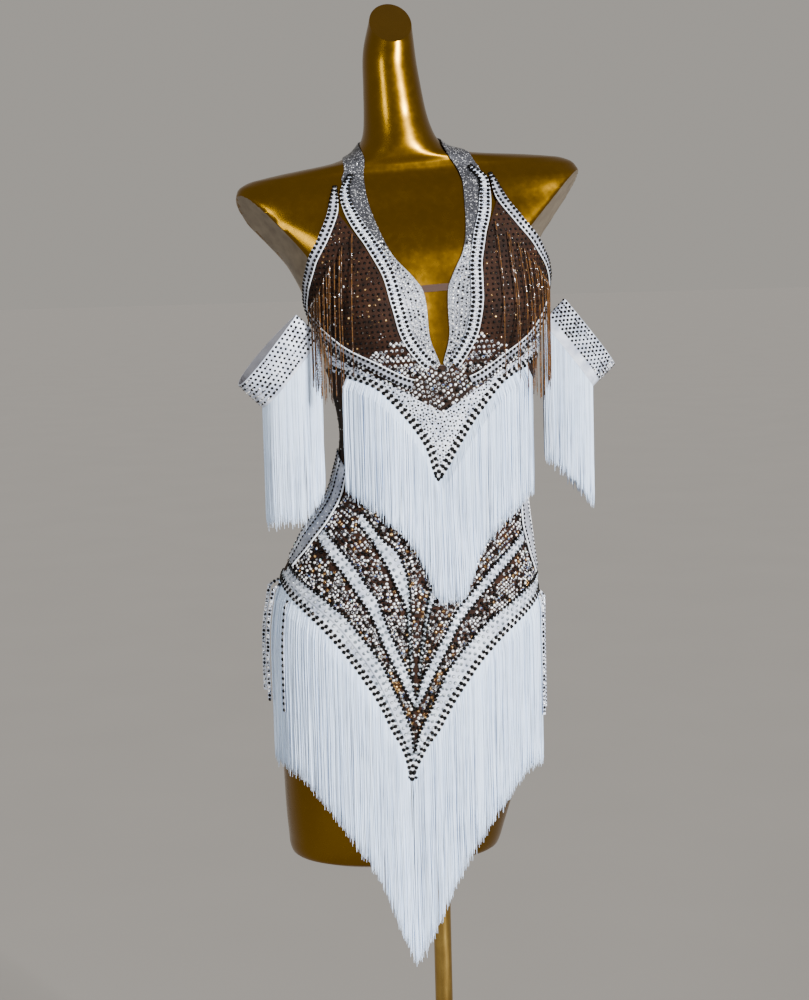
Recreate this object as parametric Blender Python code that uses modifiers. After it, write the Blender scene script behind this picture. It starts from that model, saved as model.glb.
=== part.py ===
"""A latin dance dress with long fringe, on a limbless dress form with a pole and a round base.

The dress faces -Y and stands along +Z. The origin is the centre of the base's underside. Sizes are in
millimetres until a mesh is made. Most pieces follow the dress form, whose surface is a function of an
angle round the body (0 at the centre front, 90 at the +X side, 180 at the centre back) and a height.
"""
import math
from collections import namedtuple
from functools import partial

import bmesh
import bpy
import numpy as np
from mathutils.kdtree import KDTree

MM = 0.001

# --- driving sizes
CLOTH = 1.2  # wall of a cut piece
CUP_THICKNESS = 1.4
SEAM_GAP = 0.8  # along the height, which leaves about 0.3 across a sloping seam
LAYER = {"ground": 1.5, "top": 3.2, "band": 5.0}  # how far a piece lies off the form
RAISED = {"neck strip": 0.8, "cup band": 0.1, "keyhole bar": 0.8}  # over its layer
SIDE_SEAM = 98.0  # degrees, where the front of the dress ends and its back begins
SIDE_SEAM_GAP = 0.3  # degrees

SEAM_ANGLES = np.linspace(-SIDE_SEAM, SIDE_SEAM, 31)  # columns that meeting panels share

BASE_RADIUS = 165.0
BASE_THICKNESS = 8.0
POLE_RADIUS = 11.0
BASE_EDGE = 2.0
COLLAR_RADIUS = 22.0
COLLAR_FOOT = 30.0
COLLAR_HEIGHT = 14.0
POLE_TOP = 599.7  # the form's flat underside is just above it
HUB_RADIUS = 40.0
HUB_HEIGHT = 46.0
HUB_RIM = 6.0
SEAT_GAP = 0.3  # where a part only stands on another

BUST_RISE = 20.0  # how far the form swells at each cup
BUST_SPREAD = 36.0
BUST_ACROSS = 88.0
BUST_HEIGHT = 1262.0

FORM_MIDDLE = -15.0  # x of a line up the inside of the form
FormSection = namedtuple(
    "FormSection", "height centre_x centre_y half_width front back tilt lean squareness")
FORM_SECTIONS = [
    FormSection(600, -57, 0, 112, 78, 90, 0, 0, 2.3),
    FormSection(607, -57, 0, 129, 92, 105, 0, 0, 2.3),
    FormSection(627, -55, 0, 134, 97, 110, 0, 0, 2.3),
    FormSection(712, -45, 0, 148, 101, 122, -2, 0, 2.3),
    FormSection(792, -38, 0, 157, 103, 131, -4, 0, 2.25),
    FormSection(865, -36, 0, 160, 103, 130, -4, 0, 2.2),
    FormSection(926, -31, 0, 156, 99, 119, -4, 0, 2.2),
    FormSection(987, -21, 0, 140, 92, 100, -3, 0, 2.2),
    FormSection(1060, -4, 0, 117, 83, 84, 0, 0, 2.2),
    FormSection(1121, 4, 0, 113, 85, 84, 1, 0, 2.2),
    FormSection(1182, 4, 0, 122, 92, 88, 2, 0, 2.2),
    FormSection(1243, 1, 0, 136, 96, 93, 3, 0, 2.2),
    FormSection(1292, -2, 0, 146, 96, 96, 3.5, 0, 2.2),
    FormSection(1330, -8, 0, 158, 91, 96, 3.5, 0, 2.3),
    FormSection(1360, -12, 4, 178, 82, 88, 3.5, 0, 2.5),
    FormSection(1390, -16, 8, 200, 66, 70, 3.5, 0, 2.8),
    FormSection(1412, -18, 10, 207, 55, 60, 3.5, 0, 3.0),
    FormSection(1425, -20, 12, 203, 47, 52, 3.5, 0, 2.8),
    FormSection(1433, -21, 13, 190, 44, 48, 3.5, 0, 2.5),
    FormSection(1440, -22, 14, 150, 44, 48, 3.5, 0, 2.3),
    FormSection(1448, -25, 14, 84, 47, 51, 3.5, 0, 2.2),
    FormSection(1458, -28, 14, 56, 48, 50, 3, 0, 2.1),
    FormSection(1475, -29, 14, 43, 46, 47, 2, 0, 2.0),
    FormSection(1500, -32, 13, 37.5, 41, 43, 1, 0, 2.0),
    FormSection(1530, -35, 10, 34.5, 38, 40, 0, 6, 2.0),
    FormSection(1570, -38, 5, 31, 34, 36, 0, 24, 2.0),
    FormSection(1604, -36, 0, 25, 27, 29, 0, 42, 2.0),
]

# Rings of the form's own mesh, closer where it curves in.
FORM_RINGS = [600, 607, 627, *range(680, 960, 56), *range(960, 1130, 28), *range(1156, 1390, 39),
              1390, 1410, 1423, 1433, 1441, 1449, 1457, 1466, 1478, 1500, 1535, 1570, 1604]

# Edges and routes on the dress's -X side: degrees from the centre front, and height.
NECKLINE = [(0.6, 1207), (4, 1243), (4, 1274), (4.6, 1292), (6.5, 1304), (12, 1336), (12, 1352),
            (10.2, 1380), (8.4, 1409), (10.5, 1429), (33, 1448), (60, 1459), (85, 1466), (120, 1471),
            (179, 1480)]
NECK_STRIP_EDGE = [(2.6, 1200), (7, 1212), (15, 1248), (17, 1280), (17, 1312), (17.5, 1348),
                   (16.6, 1380), (15.2, 1405), (16.5, 1426), (24, 1438), (48, 1446), (75, 1451),
                   (105, 1456), (179, 1467)]
HALTER_ROUTE = [(14.6, 1429), (14.6, 1408), (16.6, 1380), (17.5, 1348), (17, 1312), (17, 1280),
                (15, 1248), (7, 1212), (2.6, 1200)]
CUP_BAND_ROUTE = [(17.4, 1417), (22.4, 1388), (36, 1359), (54, 1332), (71, 1304), (83, 1280),
                  (72, 1258), (57, 1236), (36, 1211), (18, 1188), (7, 1178)]
CUP_INNER_EDGE = [(20.5, 1400), (20.6, 1380), (21, 1348), (20.5, 1312), (20.5, 1280), (18.5, 1248),
                  (11, 1213), (5, 1199)]
CUP_OUTER_EDGE = [(21.2, 1401), (37, 1355), (54, 1331), (70, 1304), (80, 1281), (70, 1259),
                  (56, 1237), (36, 1215), (18, 1193), (6, 1192)]
BUST_POINT_EDGE = [(0, 1066), (3, 1078), (8, 1104), (16, 1132), (22, 1149), (28, 1164), (36, 1180),
                   (47, 1190), (60, 1197), (74, 1204)]
BUST_POINT_REACH = 73.0
BUST_POINT_TOP = [(0, 1190), (18, 1184), (36, 1207), (57, 1229), (74, 1250)]
HIP_TOP_EDGE = [(0, 1040), (50, 1052), (74, 1068), (80, 1046), (89, 1000), (SIDE_SEAM, 962)]
HIP_V_EDGE = [(0, 711), (4, 750), (9, 775), (14, 804), (20, 829), (26, 851), (34, 873), (42, 889),
              (58, 910), (78, 926), (SIDE_SEAM, 934)]
HIP_BACK_TOP = [(SIDE_SEAM, 962), (125, 945), (180, 930)]
HIP_BACK_EDGE = [(SIDE_SEAM, 934), (135, 900), (180, 862)]
RAYS = {
    "outer": [(0, 735), (3, 762), (8, 796), (13, 828), (21, 862), (34, 897), (53, 922),
              (80, 942)],
    "middle": [(0, 800), (7, 846), (12, 876), (17, 905), (26, 935), (34, 954), (44, 971), (60, 992)],
}
RAY_WIDTH = 12.0
RAY_STEEPEST = 2.2  # past this slope a ray band keeps its height
RAY_ENDS = {"outer": 80.0, "middle": 60.0}
HIP_BAND_FRONT = [(62, 1080), (61, 1050), (60, 1014), (65, 985), (73, 955)]
HIP_BAND_BACK = [(88, 1104), (90, 1074), (91, 1040), (92, 1005), (92, 966)]
BACK_BAND_ROUTE = [(84, 1276), (100, 1273), (130, 1268), (180, 1265)]

BAND_WIDTH = {"halter": 13.0, "cup": 11.0, "back": 22.0, "keyhole": 8.0}
HIP_BAND_LIFT = {"left": 5.6, "right": 4.2}
BACK_BAND_START = 84.0  # just behind each cup band
KEYHOLE_HEIGHT = 1294.0
KEYHOLE_REACH = 8.5  # degrees each side

# Fringe: strands, how many levels each is bent at, strip height, and hem as (degrees, height).
Fringe = namedtuple("Fringe", "strands levels strip_height strand_share thickness")
BODICE_FRINGE = Fringe(32, 5, 6.0, 0.72, 1.6)
SKIRT_FRONT_FRINGE = Fringe(44, 4, 6.0, 0.72, 1.6)
SKIRT_BACK_FRINGE = Fringe(30, 3, 6.0, 0.72, 1.6)
ARM_FRINGE = Fringe(16, 2, 5.0, 0.70, 1.6)
BEAD_FRINGE = Fringe(14, 3, 4.0, 0.45, 1.8)
CLEARANCE = {"bodice": 8.5, "skirt": 4.0, "beads": 10.0}  # of the strands from the form
BODICE_FRINGE_REACH = (-57.0, 57.0)
BEAD_REACH = {"left": (-60.0, -23.0), "right": (23.0, 60.0)}
BODICE_HEM = [(0, 926), (5, 928), (9, 944), (14, 968), (19, 988), (29, 1006), (38, 1018), (58, 1034)]
SKIRT_FRONT_HEM = [(0, 480), (4, 510), (9, 548), (14, 584), (22, 620), (32, 656), (46, 692), (58, 714),
                   (76, 722), (SIDE_SEAM, 724)]
SKIRT_BACK_HEM = [(SIDE_SEAM, 724), (135, 690), (180, 652)]
BEAD_START = [(23, 1362), (31, 1347), (46, 1323), (60, 1299)]
BEAD_ENDS = [(23, 1196), (34, 1176), (50, 1164), (60, 1172)]

# Armbands. slope and back lead down to the loop's outer end, and width_slope and width_back from its
# upper rim to its lower one: degrees below the horizontal, and degrees towards the back.
Armband = namedtuple("Armband", "middle reach depth slope back width width_slope width_back hem")
ARMBANDS = {
    "left": Armband((-182, -27, 1212), 55, 34, 49, 16, 40, 45, 9,
                    [(-213, 1018), (-165, 1020), (-112, 1092)]),
    "right": Armband((180, -21, 1222), 52, 30, 52, 12, 38, 45, 3,
                     [(112, 1100), (145, 1080), (200, 1024)]),
}
ARMBAND_PINCH = 0.35  # how much flatter the loop is at its inner end, and rounder at its outer end


# --- curves and tables
def smooth_column(known, values, wanted):
    """Monotone cubic through the known points, so a column never swings past its own numbers."""
    known = np.asarray(known, float)
    values = np.asarray(values, float)
    wanted = np.clip(np.asarray(wanted, float), known[0], known[-1])
    step = np.diff(known)
    slope = np.diff(values) / step
    tangent = np.zeros(len(known))
    tangent[0], tangent[-1] = slope[0], slope[-1]
    for i in range(1, len(known) - 1):
        if slope[i - 1] * slope[i] > 0:
            before = 2 * step[i] + step[i - 1]
            after = step[i] + 2 * step[i - 1]
            tangent[i] = (before + after) / (before / slope[i - 1] + after / slope[i])
    cell = np.clip(np.searchsorted(known, wanted) - 1, 0, len(step) - 1)
    t = (wanted - known[cell]) / step[cell]
    return (values[cell] * (1 + 2 * t) * (1 - t) ** 2 + step[cell] * tangent[cell] * t * (1 - t) ** 2
            + values[cell + 1] * t * t * (3 - 2 * t) + step[cell] * tangent[cell + 1] * t * t * (t - 1))


def edge_height(edge, angle):
    """The height of an edge table at an angle, the same on both sides of the dress."""
    table = np.asarray(edge, float)
    return smooth_column(table[:, 0], table[:, 1], np.abs(angle))


def travelled(points):
    """The length of a line of points up to each of them."""
    return np.concatenate([[0], np.cumsum(np.linalg.norm(np.diff(points, axis=0), axis=1))])


def along(points, length, places):
    """Points of a line at the given places of its length."""
    return np.stack([np.interp(places, length, points[:, k]) for k in range(points.shape[1])], -1)


def resampled(points, count):
    """A smooth curve through the points, at even steps of its length."""
    points = np.asarray(points, float)
    length = travelled(points)
    fine = np.linspace(0, length[-1], 400)
    curve = np.stack([smooth_column(length, points[:, k], fine) for k in range(points.shape[1])], -1)
    length = travelled(curve)
    return along(curve, length, np.linspace(0, length[-1], count))


# --- the form's surface
SECTION_TABLE = np.array(FORM_SECTIONS, float)


def section_at(height):
    columns = [smooth_column(SECTION_TABLE[:, 0], SECTION_TABLE[:, k], height) for k in range(1, 9)]
    return FormSection(np.asarray(height, float), *columns)


def form_point(angle, height):
    """Points of the form's surface, for arrays of angles in degrees and heights."""
    angle, height = np.broadcast_arrays(np.radians(angle), np.asarray(height, float))
    s = section_at(height)
    power = 2 / s.squareness
    across = s.half_width * np.sign(np.sin(angle)) * np.abs(np.sin(angle)) ** power
    depth = np.where(np.cos(angle) > 0, s.front, s.back)
    forward = depth * np.sign(np.cos(angle)) * np.abs(np.cos(angle)) ** power
    bust = np.exp(-((np.abs(across) - BUST_ACROSS) ** 2 + (height - BUST_HEIGHT) ** 2)
                  / (2 * BUST_SPREAD ** 2))
    forward = forward + np.where(forward > 0, BUST_RISE * bust, 0)
    z = height + across * np.tan(np.radians(s.tilt)) - forward * np.tan(np.radians(s.lean))
    return np.stack([s.centre_x + across, s.centre_y - forward, z], -1)


def form_normal(angle, height):
    turn, rise = 0.4, 0.6
    height = np.clip(height, SECTION_TABLE[0, 0] + rise, SECTION_TABLE[-1, 0] - rise)
    along = form_point(angle + turn, height) - form_point(angle - turn, height)
    up = form_point(angle, height + rise) - form_point(angle, height - rise)
    normal = np.cross(along, up)
    return normal / np.linalg.norm(normal, axis=-1, keepdims=True)


def off_form(angle, height, lift):
    angle, height = np.broadcast_arrays(np.asarray(angle, float), np.asarray(height, float))
    return form_point(angle, height) + form_normal(angle, height) * lift


SAMPLE_ANGLES = np.arange(-180, 180, 3.0)
SAMPLE_HEIGHTS = np.arange(900, 1520, 5.0)
sample_grid = np.stack(np.meshgrid(SAMPLE_ANGLES, SAMPLE_HEIGHTS), -1).reshape(-1, 2)
sample_tree = KDTree(len(sample_grid))
for index, place in enumerate(form_point(sample_grid[:, 0], sample_grid[:, 1])):
    sample_tree.insert(place, index)
sample_tree.balance()


def settled(points, lift):
    """The points moved to the form's surface along its own slope, then lifted off it."""
    flat = np.asarray(points, float).reshape(-1, 3)
    place = np.array([sample_grid[sample_tree.find(p)[1]] for p in flat])
    for _ in range(6):
        here = form_point(place[:, 0], place[:, 1])
        along = (form_point(place[:, 0] + 0.2, place[:, 1]) - here) / 0.2
        up = (form_point(place[:, 0], place[:, 1] + 0.5) - here) / 0.5
        miss = flat - here
        a, b, c = (along ** 2).sum(1), (along * up).sum(1), (up ** 2).sum(1)
        p, q = (along * miss).sum(1), (up * miss).sum(1)
        det = a * c - b * b
        step = np.stack([(p * c - q * b) / det, (q * a - p * b) / det], -1)
        place = place + np.clip(step, -4, 4)
    return off_form(place[:, 0], place[:, 1], lift).reshape(np.shape(points))


# --- meshes
def new_object(name, vertices, faces, colour, roughness, metallic=0.0):
    mesh = bpy.data.meshes.new(name)
    mesh.from_pydata([tuple(v) for v in np.asarray(vertices, float) * MM], [], faces)
    mesh.validate()
    part = bpy.data.objects.new(name, mesh)
    dress_collection.objects.link(part)
    finish(part, colour, roughness, metallic)
    return part


def finish(part, colour, roughness, metallic):
    material = bpy.data.materials.new(part.name)
    material.use_nodes = True
    shader = material.node_tree.nodes["Principled BSDF"]
    shader.inputs["Base Color"].default_value = (*colour, 1)
    shader.inputs["Roughness"].default_value = roughness
    shader.inputs["Metallic"].default_value = metallic
    part.data.materials.append(material)
    part.data.shade_smooth()
    part.data.set_sharp_from_angle(angle=math.radians(40))


def grid_faces(rows, columns, closed=False):
    """Quads of a grid of points. closed joins the last column to the first."""
    faces = []
    for r in range(rows - 1):
        for c in range(columns if closed else columns - 1):
            d = (c + 1) % columns
            faces.append((r * columns + c, r * columns + d, (r + 1) * columns + d, (r + 1) * columns + c))
    return faces


def cloth(name, grid, colour, roughness=0.6, closed=False, thickness=CLOTH, outward=None):
    """A cloth wall: the grid is its inner face, and Solidify gives it its thickness outwards."""
    grid = np.asarray(grid, float)
    rows, columns = grid.shape[:2]
    if outward is None:
        middle = grid[rows // 2, columns // 2]
        outward = middle - np.array([FORM_MIDDLE, 0.0, middle[2]])
    r, c = rows // 2 - 1, columns // 2 - 1
    facing = np.cross(grid[r, c + 1] - grid[r, c], grid[r + 1, c] - grid[r, c])
    if facing @ outward < 0:
        grid = grid[::-1]
    part = new_object(name, grid.reshape(-1, 3), grid_faces(rows, columns, closed), colour, roughness)
    wall = part.modifiers.new("cloth wall", "SOLIDIFY")
    wall.thickness = thickness * MM
    wall.offset = 1
    return part


def panel(name, angles, top, bottom, rows, lift, colour, low_rows=1.0, **options):
    """Cloth between two edge tables, with its columns at the given angles.

    low_rows over 1 sets the rows closer together near the bottom edge.
    """
    share = np.linspace(0, 1, rows)[:, None] ** low_rows
    height = edge_height(top, angles) * share + edge_height(bottom, angles) * (1 - share)
    return cloth(name, off_form(angles, height, lift), colour, **options)


def on_side(table, side):
    """A route table as points of the form, on the -X side (side -1) or mirrored (side 1)."""
    table = np.asarray(table, float)
    return form_point(table[:, 0] * side, table[:, 1])


def between(name, inner, outer, side, rows, columns, lift, colour, **options):
    """Cloth between two edges that run side by side."""
    first = resampled(on_side(inner, side), rows)[:, None]
    second = resampled(on_side(outer, side), rows)[:, None]
    share = np.linspace(0, 1, columns)[None, :, None]
    return cloth(name, settled(first * (1 - share) + second * share, lift), colour, **options)


def band(name, route, side, width, rows, lift, colour, taper=0, **options):
    """A flat band along a route. Its first rows narrow to a point where taper is given."""
    line = settled(resampled(on_side(route, side), rows), 0)
    normal = settled(line, 1) - line
    forward = np.gradient(line, axis=0)
    across = np.cross(forward, normal)
    across /= np.linalg.norm(across, axis=1, keepdims=True)
    half = np.full(rows, width / 2)
    half[:taper] *= np.linspace(0.3, 1, taper, endpoint=False)
    grid = np.stack([line - across * half[:, None], line + across * half[:, None]], 1)
    return cloth(name, settled(grid, lift), colour, **options)


# --- fringe
def form_slice(height):
    """The form's outline at one true height, as points (x, y)."""
    angles = np.arange(-180, 180, 2.0)
    section = section_at(np.clip(height, SECTION_TABLE[0, 0], SECTION_TABLE[-1, 0]))
    across = form_point(angles, np.full(len(angles), float(section.height)))[:, 0] - section.centre_x
    level = height - across * math.tan(math.radians(float(section.tilt)))
    return form_point(angles, np.clip(level, SECTION_TABLE[0, 0], SECTION_TABLE[-1, 0]))[:, :2]


SLICE_STEP = 6.0
BESIDE = 9.0  # how far to each side of a strand the form is looked at
STEPS_PER_LEVEL = 4
slices = {}


def reach_of_form(height, origin, outward):
    """How far the form reaches along a horizontal direction, beside a point."""
    key = round(height / SLICE_STEP)
    if key not in slices:
        slices[key] = form_slice(max(key * SLICE_STEP, SECTION_TABLE[0, 0]))
    sideways = np.array([-outward[1], outward[0]])
    away = slices[key] - origin
    beside, ahead = away @ sideways, away @ outward
    near = (np.abs(beside) < BESIDE) & (slices[key] @ outward > np.mean(slices[key], axis=0) @ outward)
    return ahead[near].max() if near.any() else 0.0


def hanging_path(start, outward, end_height, levels, clearance):
    """A strand's middle line: straight down, and pushed out where the form swells.

    It hangs free of the form where clearance is None.
    """
    heights = np.linspace(start[2], end_height, STEPS_PER_LEVEL * levels + 1)
    out = 0.0
    path = [start]
    for i, height in enumerate(heights[1:], 1):
        if clearance is not None:
            out = max(out, reach_of_form(height, start[:2], outward) + clearance)
        if i % STEPS_PER_LEVEL == 0:
            path.append(np.array([*(start[:2] + outward * out), height]))
    return path


def fringe(name, root, top, tips, style, outwards, clearance, colour, closed=False):
    """One closed body: a narrow strip with a strand drawn down from every other cell.

    root and top are the strip's lower and upper inner edges, two points for each strand and one more
    where the strip isn't closed. tips gives each strand's end height.
    """
    root, top, outwards = (np.asarray(v, float) for v in (root, top, outwards))
    count = len(root)
    push = np.concatenate([outwards, np.zeros((count, 1))], 1) * style.thickness
    vertices = np.concatenate([root, root + push, top, top + push]).tolist()
    inner, outer, top_inner, top_outer = (k * count for k in range(4))
    faces = []
    cells = count if closed else count - 1
    for c in range(cells):
        d = (c + 1) % count
        faces.append((outer + c, outer + d, top_outer + d, top_outer + c))
        faces.append((inner + d, inner + c, top_inner + c, top_inner + d))
        faces.append((top_outer + c, top_outer + d, top_inner + d, top_inner + c))
        if c % 2:
            faces.append((inner + c, inner + d, outer + d, outer + c))
            continue
        corners = [inner + c, inner + d, outer + d, outer + c]
        middle = (root[c] + root[d]) / 2
        outward = outwards[c] + outwards[d]
        outward /= np.linalg.norm(outward)
        path = hanging_path(middle, outward, tips[c // 2], style.levels, clearance)
        shape = np.array([vertices[k] for k in corners]) - middle
        for place in path[1:]:
            shape[:, 2] *= 0
            first = len(vertices)
            vertices.extend((place + shape).tolist())
            ring = list(range(first, first + 4))
            for k in range(4):
                faces.append((corners[k], corners[(k + 1) % 4], ring[(k + 1) % 4], ring[k]))
            corners = ring
        faces.append(tuple(corners))
    if not closed:
        last = count - 1
        faces.append((inner, outer, top_outer, top_inner))
        faces.append((outer + last, inner + last, top_inner + last, top_outer + last))
    part = new_object(name, vertices, faces, colour, 0.5)
    facing_out(part)
    return part


def facing_out(part):
    shape = bmesh.new()
    shape.from_mesh(part.data)
    bmesh.ops.recalc_face_normals(shape, faces=shape.faces)
    shape.to_mesh(part.data)
    shape.free()


def cell_edges(first, last, strands, share):
    """Where the cells of a strip begin: wide ones carry a strand, narrow ones part the strands."""
    pitch = (last - first) / (strands - 1 + share)
    starts = first + pitch * np.arange(strands)
    return np.sort(np.concatenate([starts, starts + pitch * share]))


def edge_fringe(name, height_of, tip_of, reach, style, lift, clearance, colour, facing=0.0):
    """Fringe along an edge of the form. facing is the angle that reach is counted from.

    height_of and tip_of give the edge's height and a strand's end height at an angle.
    """
    fine = np.linspace(*reach, 600)
    length = travelled(form_point(fine + facing, height_of(fine))[:, :2])
    angles = np.interp(cell_edges(0, length[-1], style.strands, style.strand_share), length, fine)
    height = height_of(angles)
    flat = form_normal(angles + facing, height)[:, :2]
    outwards = flat / np.linalg.norm(flat, axis=1, keepdims=True)
    root = off_form(angles + facing, height, lift)
    top = off_form(angles + facing, height + style.strip_height, lift)
    fringe(name, root, top, tip_of((angles[0::2] + angles[1::2]) / 2), style, outwards, clearance,
           colour)


# --- the parts
GOLD = (0.72, 0.47, 0.10)
SATIN = (0.86, 0.87, 0.90)
WHITE = (0.82, 0.86, 0.93)
BROWN = (0.09, 0.035, 0.02)
AMBER = (0.30, 0.13, 0.04)
SILVER = (0.55, 0.56, 0.60)
NUDE = (0.55, 0.36, 0.29)
SIDES = {"left": -1, "right": 1}


def dress_form():
    """The torso: a loft of its sections, closed by flat ends."""
    angles = np.arange(-180, 180, 360 / 36)
    heights = FORM_RINGS
    rings = np.array([form_point(angles, np.full(len(angles), h)) for h in heights])
    faces = grid_faces(len(heights), len(angles), closed=True)
    faces.append(tuple(reversed(range(len(angles)))))
    faces.append(tuple(range((len(heights) - 1) * len(angles), len(heights) * len(angles))))
    part = new_object("form_torso", rings.reshape(-1, 3), faces, GOLD, 0.18, 1.0)
    facing_out(part)


def turned(name, profile, colour, roughness, metallic):
    """A turned solid from (radius, height) points, up its outer side."""
    points = [(radius, 0, z) for radius, z in profile]
    edges = [(i, i + 1) for i in range(len(points) - 1)]
    mesh = bpy.data.meshes.new(name)
    mesh.from_pydata([tuple(np.array(p) * MM) for p in points], edges, [])
    part = bpy.data.objects.new(name, mesh)
    dress_collection.objects.link(part)
    screw = part.modifiers.new("turned", "SCREW")
    screw.steps = screw.render_steps = 32
    screw.use_merge_vertices = True
    screw.merge_threshold = 0.00001
    screw.use_normal_flip = True
    solid = bpy.data.meshes.new_from_object(part.evaluated_get(bpy.context.evaluated_depsgraph_get()))
    part.modifiers.clear()
    part.data = solid
    solid.name = name
    finish(part, colour, roughness, metallic)
    facing_out(part)
    return part


def stand():
    """A round base with a raised collar, and a pole that flares into the hub under the form."""
    collar_top = BASE_THICKNESS + COLLAR_HEIGHT
    turned("stand_base", [(0, 0), (BASE_RADIUS - BASE_EDGE, 0), (BASE_RADIUS, BASE_EDGE),
                          (BASE_RADIUS, BASE_THICKNESS - BASE_EDGE),
                          (BASE_RADIUS - BASE_EDGE, BASE_THICKNESS),
                          (COLLAR_FOOT, BASE_THICKNESS + BASE_EDGE),
                          (COLLAR_RADIUS, collar_top), (0, collar_top)], GOLD, 0.3, 1.0)
    flare = [(POLE_RADIUS + (HUB_RADIUS - POLE_RADIUS) * math.sin(math.radians(turn)) ** 1.4,
              POLE_TOP - HUB_HEIGHT + (HUB_HEIGHT - HUB_RIM) * turn / 90) for turn in range(0, 91, 30)]
    foot = collar_top + SEAT_GAP
    turned("stand_pole", [(0, foot), (POLE_RADIUS, foot), *flare, (HUB_RADIUS - BASE_EDGE, POLE_TOP),
                          (0, POLE_TOP)], GOLD, 0.3, 1.0)


def bodice():
    for side, sign in SIDES.items():
        between(f"neck_strip_{side}", NECKLINE, NECK_STRIP_EDGE, sign, 38, 3,
                LAYER["ground"] + RAISED["neck strip"], SILVER)
        between(f"cup_{side}", CUP_INNER_EDGE, CUP_OUTER_EDGE, sign, 13, 8, LAYER["top"], BROWN,
                roughness=0.8, thickness=CUP_THICKNESS)
        band(f"halter_band_{side}", HALTER_ROUTE, sign, BAND_WIDTH["halter"], 34, LAYER["band"], SATIN,
             taper=7)
        band(f"cup_band_{side}", CUP_BAND_ROUTE, sign, BAND_WIDTH["cup"], 30,
             LAYER["band"] + RAISED["cup band"], SATIN, taper=3)
    panel("bust_point_panel", SEAM_ANGLES[np.abs(SEAM_ANGLES) < BUST_POINT_REACH], BUST_POINT_TOP,
          BUST_POINT_EDGE, 6, LAYER["ground"], SATIN)
    reach = np.linspace(-KEYHOLE_REACH, KEYHOLE_REACH, 5)
    half = BAND_WIDTH["keyhole"] / 2
    grid = off_form(reach, np.array([[KEYHOLE_HEIGHT - half], [KEYHOLE_HEIGHT + half]]),
                    LAYER["top"] + RAISED["keyhole bar"])
    cloth("keyhole_bar", grid, NUDE)
    net_top = [(a, h - SEAM_GAP) for a, h in BUST_POINT_EDGE] + [(SIDE_SEAM, 1206)]
    net_bottom = [(a, h + SEAM_GAP) for a, h in HIP_TOP_EDGE]
    panel("midriff_net", SEAM_ANGLES, net_top, net_bottom, 7, LAYER["ground"], BROWN,
          low_rows=1.5, roughness=0.9)


def behind(edge, turn):
    """The height of an edge table at an angle counted from the centre back."""
    return edge_height(edge, 180 - np.abs(turn))


def back():
    turn = np.linspace(BACK_BAND_START - 180, 180 - BACK_BAND_START, 33)
    height = behind(BACK_BAND_ROUTE, turn)
    half = BAND_WIDTH["back"] / 2
    cloth("back_band", off_form(turn + 180, np.array([height - half, height + half]), LAYER["ground"]),
          SATIN)
    turn = np.linspace(SIDE_SEAM + SIDE_SEAM_GAP - 180, 180 - SIDE_SEAM - SIDE_SEAM_GAP, 29)
    share = np.linspace(0, 1, 4)[:, None]
    height = behind(HIP_BACK_EDGE, turn) * (1 - share) + behind(HIP_BACK_TOP, turn) * share
    cloth("hip_back_panel", off_form(turn + 180, height, LAYER["ground"]), BROWN, roughness=0.7)


def hips():
    panel("hip_panel", SEAM_ANGLES, HIP_TOP_EDGE, HIP_V_EDGE, 7, LAYER["ground"], BROWN, roughness=0.7)
    for name, line in RAYS.items():
        fine = np.linspace(-RAY_ENDS[name], RAY_ENDS[name], 401)
        length = travelled(form_point(fine, edge_height(line, fine)))
        angles = np.interp(np.linspace(0, length[-1], 41), length, fine)
        low = edge_height(line, angles)
        run = form_point(angles + 1, edge_height(line, angles + 1)) - form_point(
            angles - 1, edge_height(line, angles - 1))
        steep = np.abs(run[:, 2]) / np.linalg.norm(run[:, :2], axis=1)
        rise = RAY_WIDTH * np.sqrt(1 + np.minimum(steep, RAY_STEEPEST) ** 2)
        grid = off_form(angles, np.array([low, low + rise]), LAYER["top"])
        cloth(f"ray_band_{name}", grid, SATIN)
    for side, sign in SIDES.items():
        between(f"hip_band_{side}", HIP_BAND_FRONT, HIP_BAND_BACK, sign, 9, 5, HIP_BAND_LIFT[side],
                SATIN)


def downward(sign, slope, back):
    """A unit direction that slopes down towards one side, and back."""
    slope, back = math.radians(slope), math.radians(back)
    return np.array([sign * math.cos(slope) * math.cos(back), math.sin(back),
                     -math.sin(slope) * math.cos(back)])


def armbands():
    """Each armband is a flattened loop that leans out and down from the side of the bodice."""
    for side, size in ARMBANDS.items():
        sign = SIDES[side]
        long_way = downward(sign, size.slope, size.back) * size.reach
        wide_way = downward(-sign, size.width_slope, size.width_back) * size.width
        deep_way = np.cross(long_way, wide_way)
        deep_way *= size.depth / np.linalg.norm(deep_way)
        middle = np.array(size.middle, float)
        around = np.radians(np.arange(0, 360, 360 / 40))[:, None]
        roundness = 1 - ARMBAND_PINCH * (1 - np.cos(around))
        loop = middle + np.cos(around) * long_way + np.sin(around) * roundness * deep_way
        grid = np.stack([loop - wide_way / 2, loop + wide_way / 2])
        cloth(f"armband_{side}", grid, SATIN, closed=True,
              outward=grid[0, 19] - middle + wide_way / 2)
        arm_fringe(side, loop + wide_way / 2, middle + wide_way / 2, size)


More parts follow.
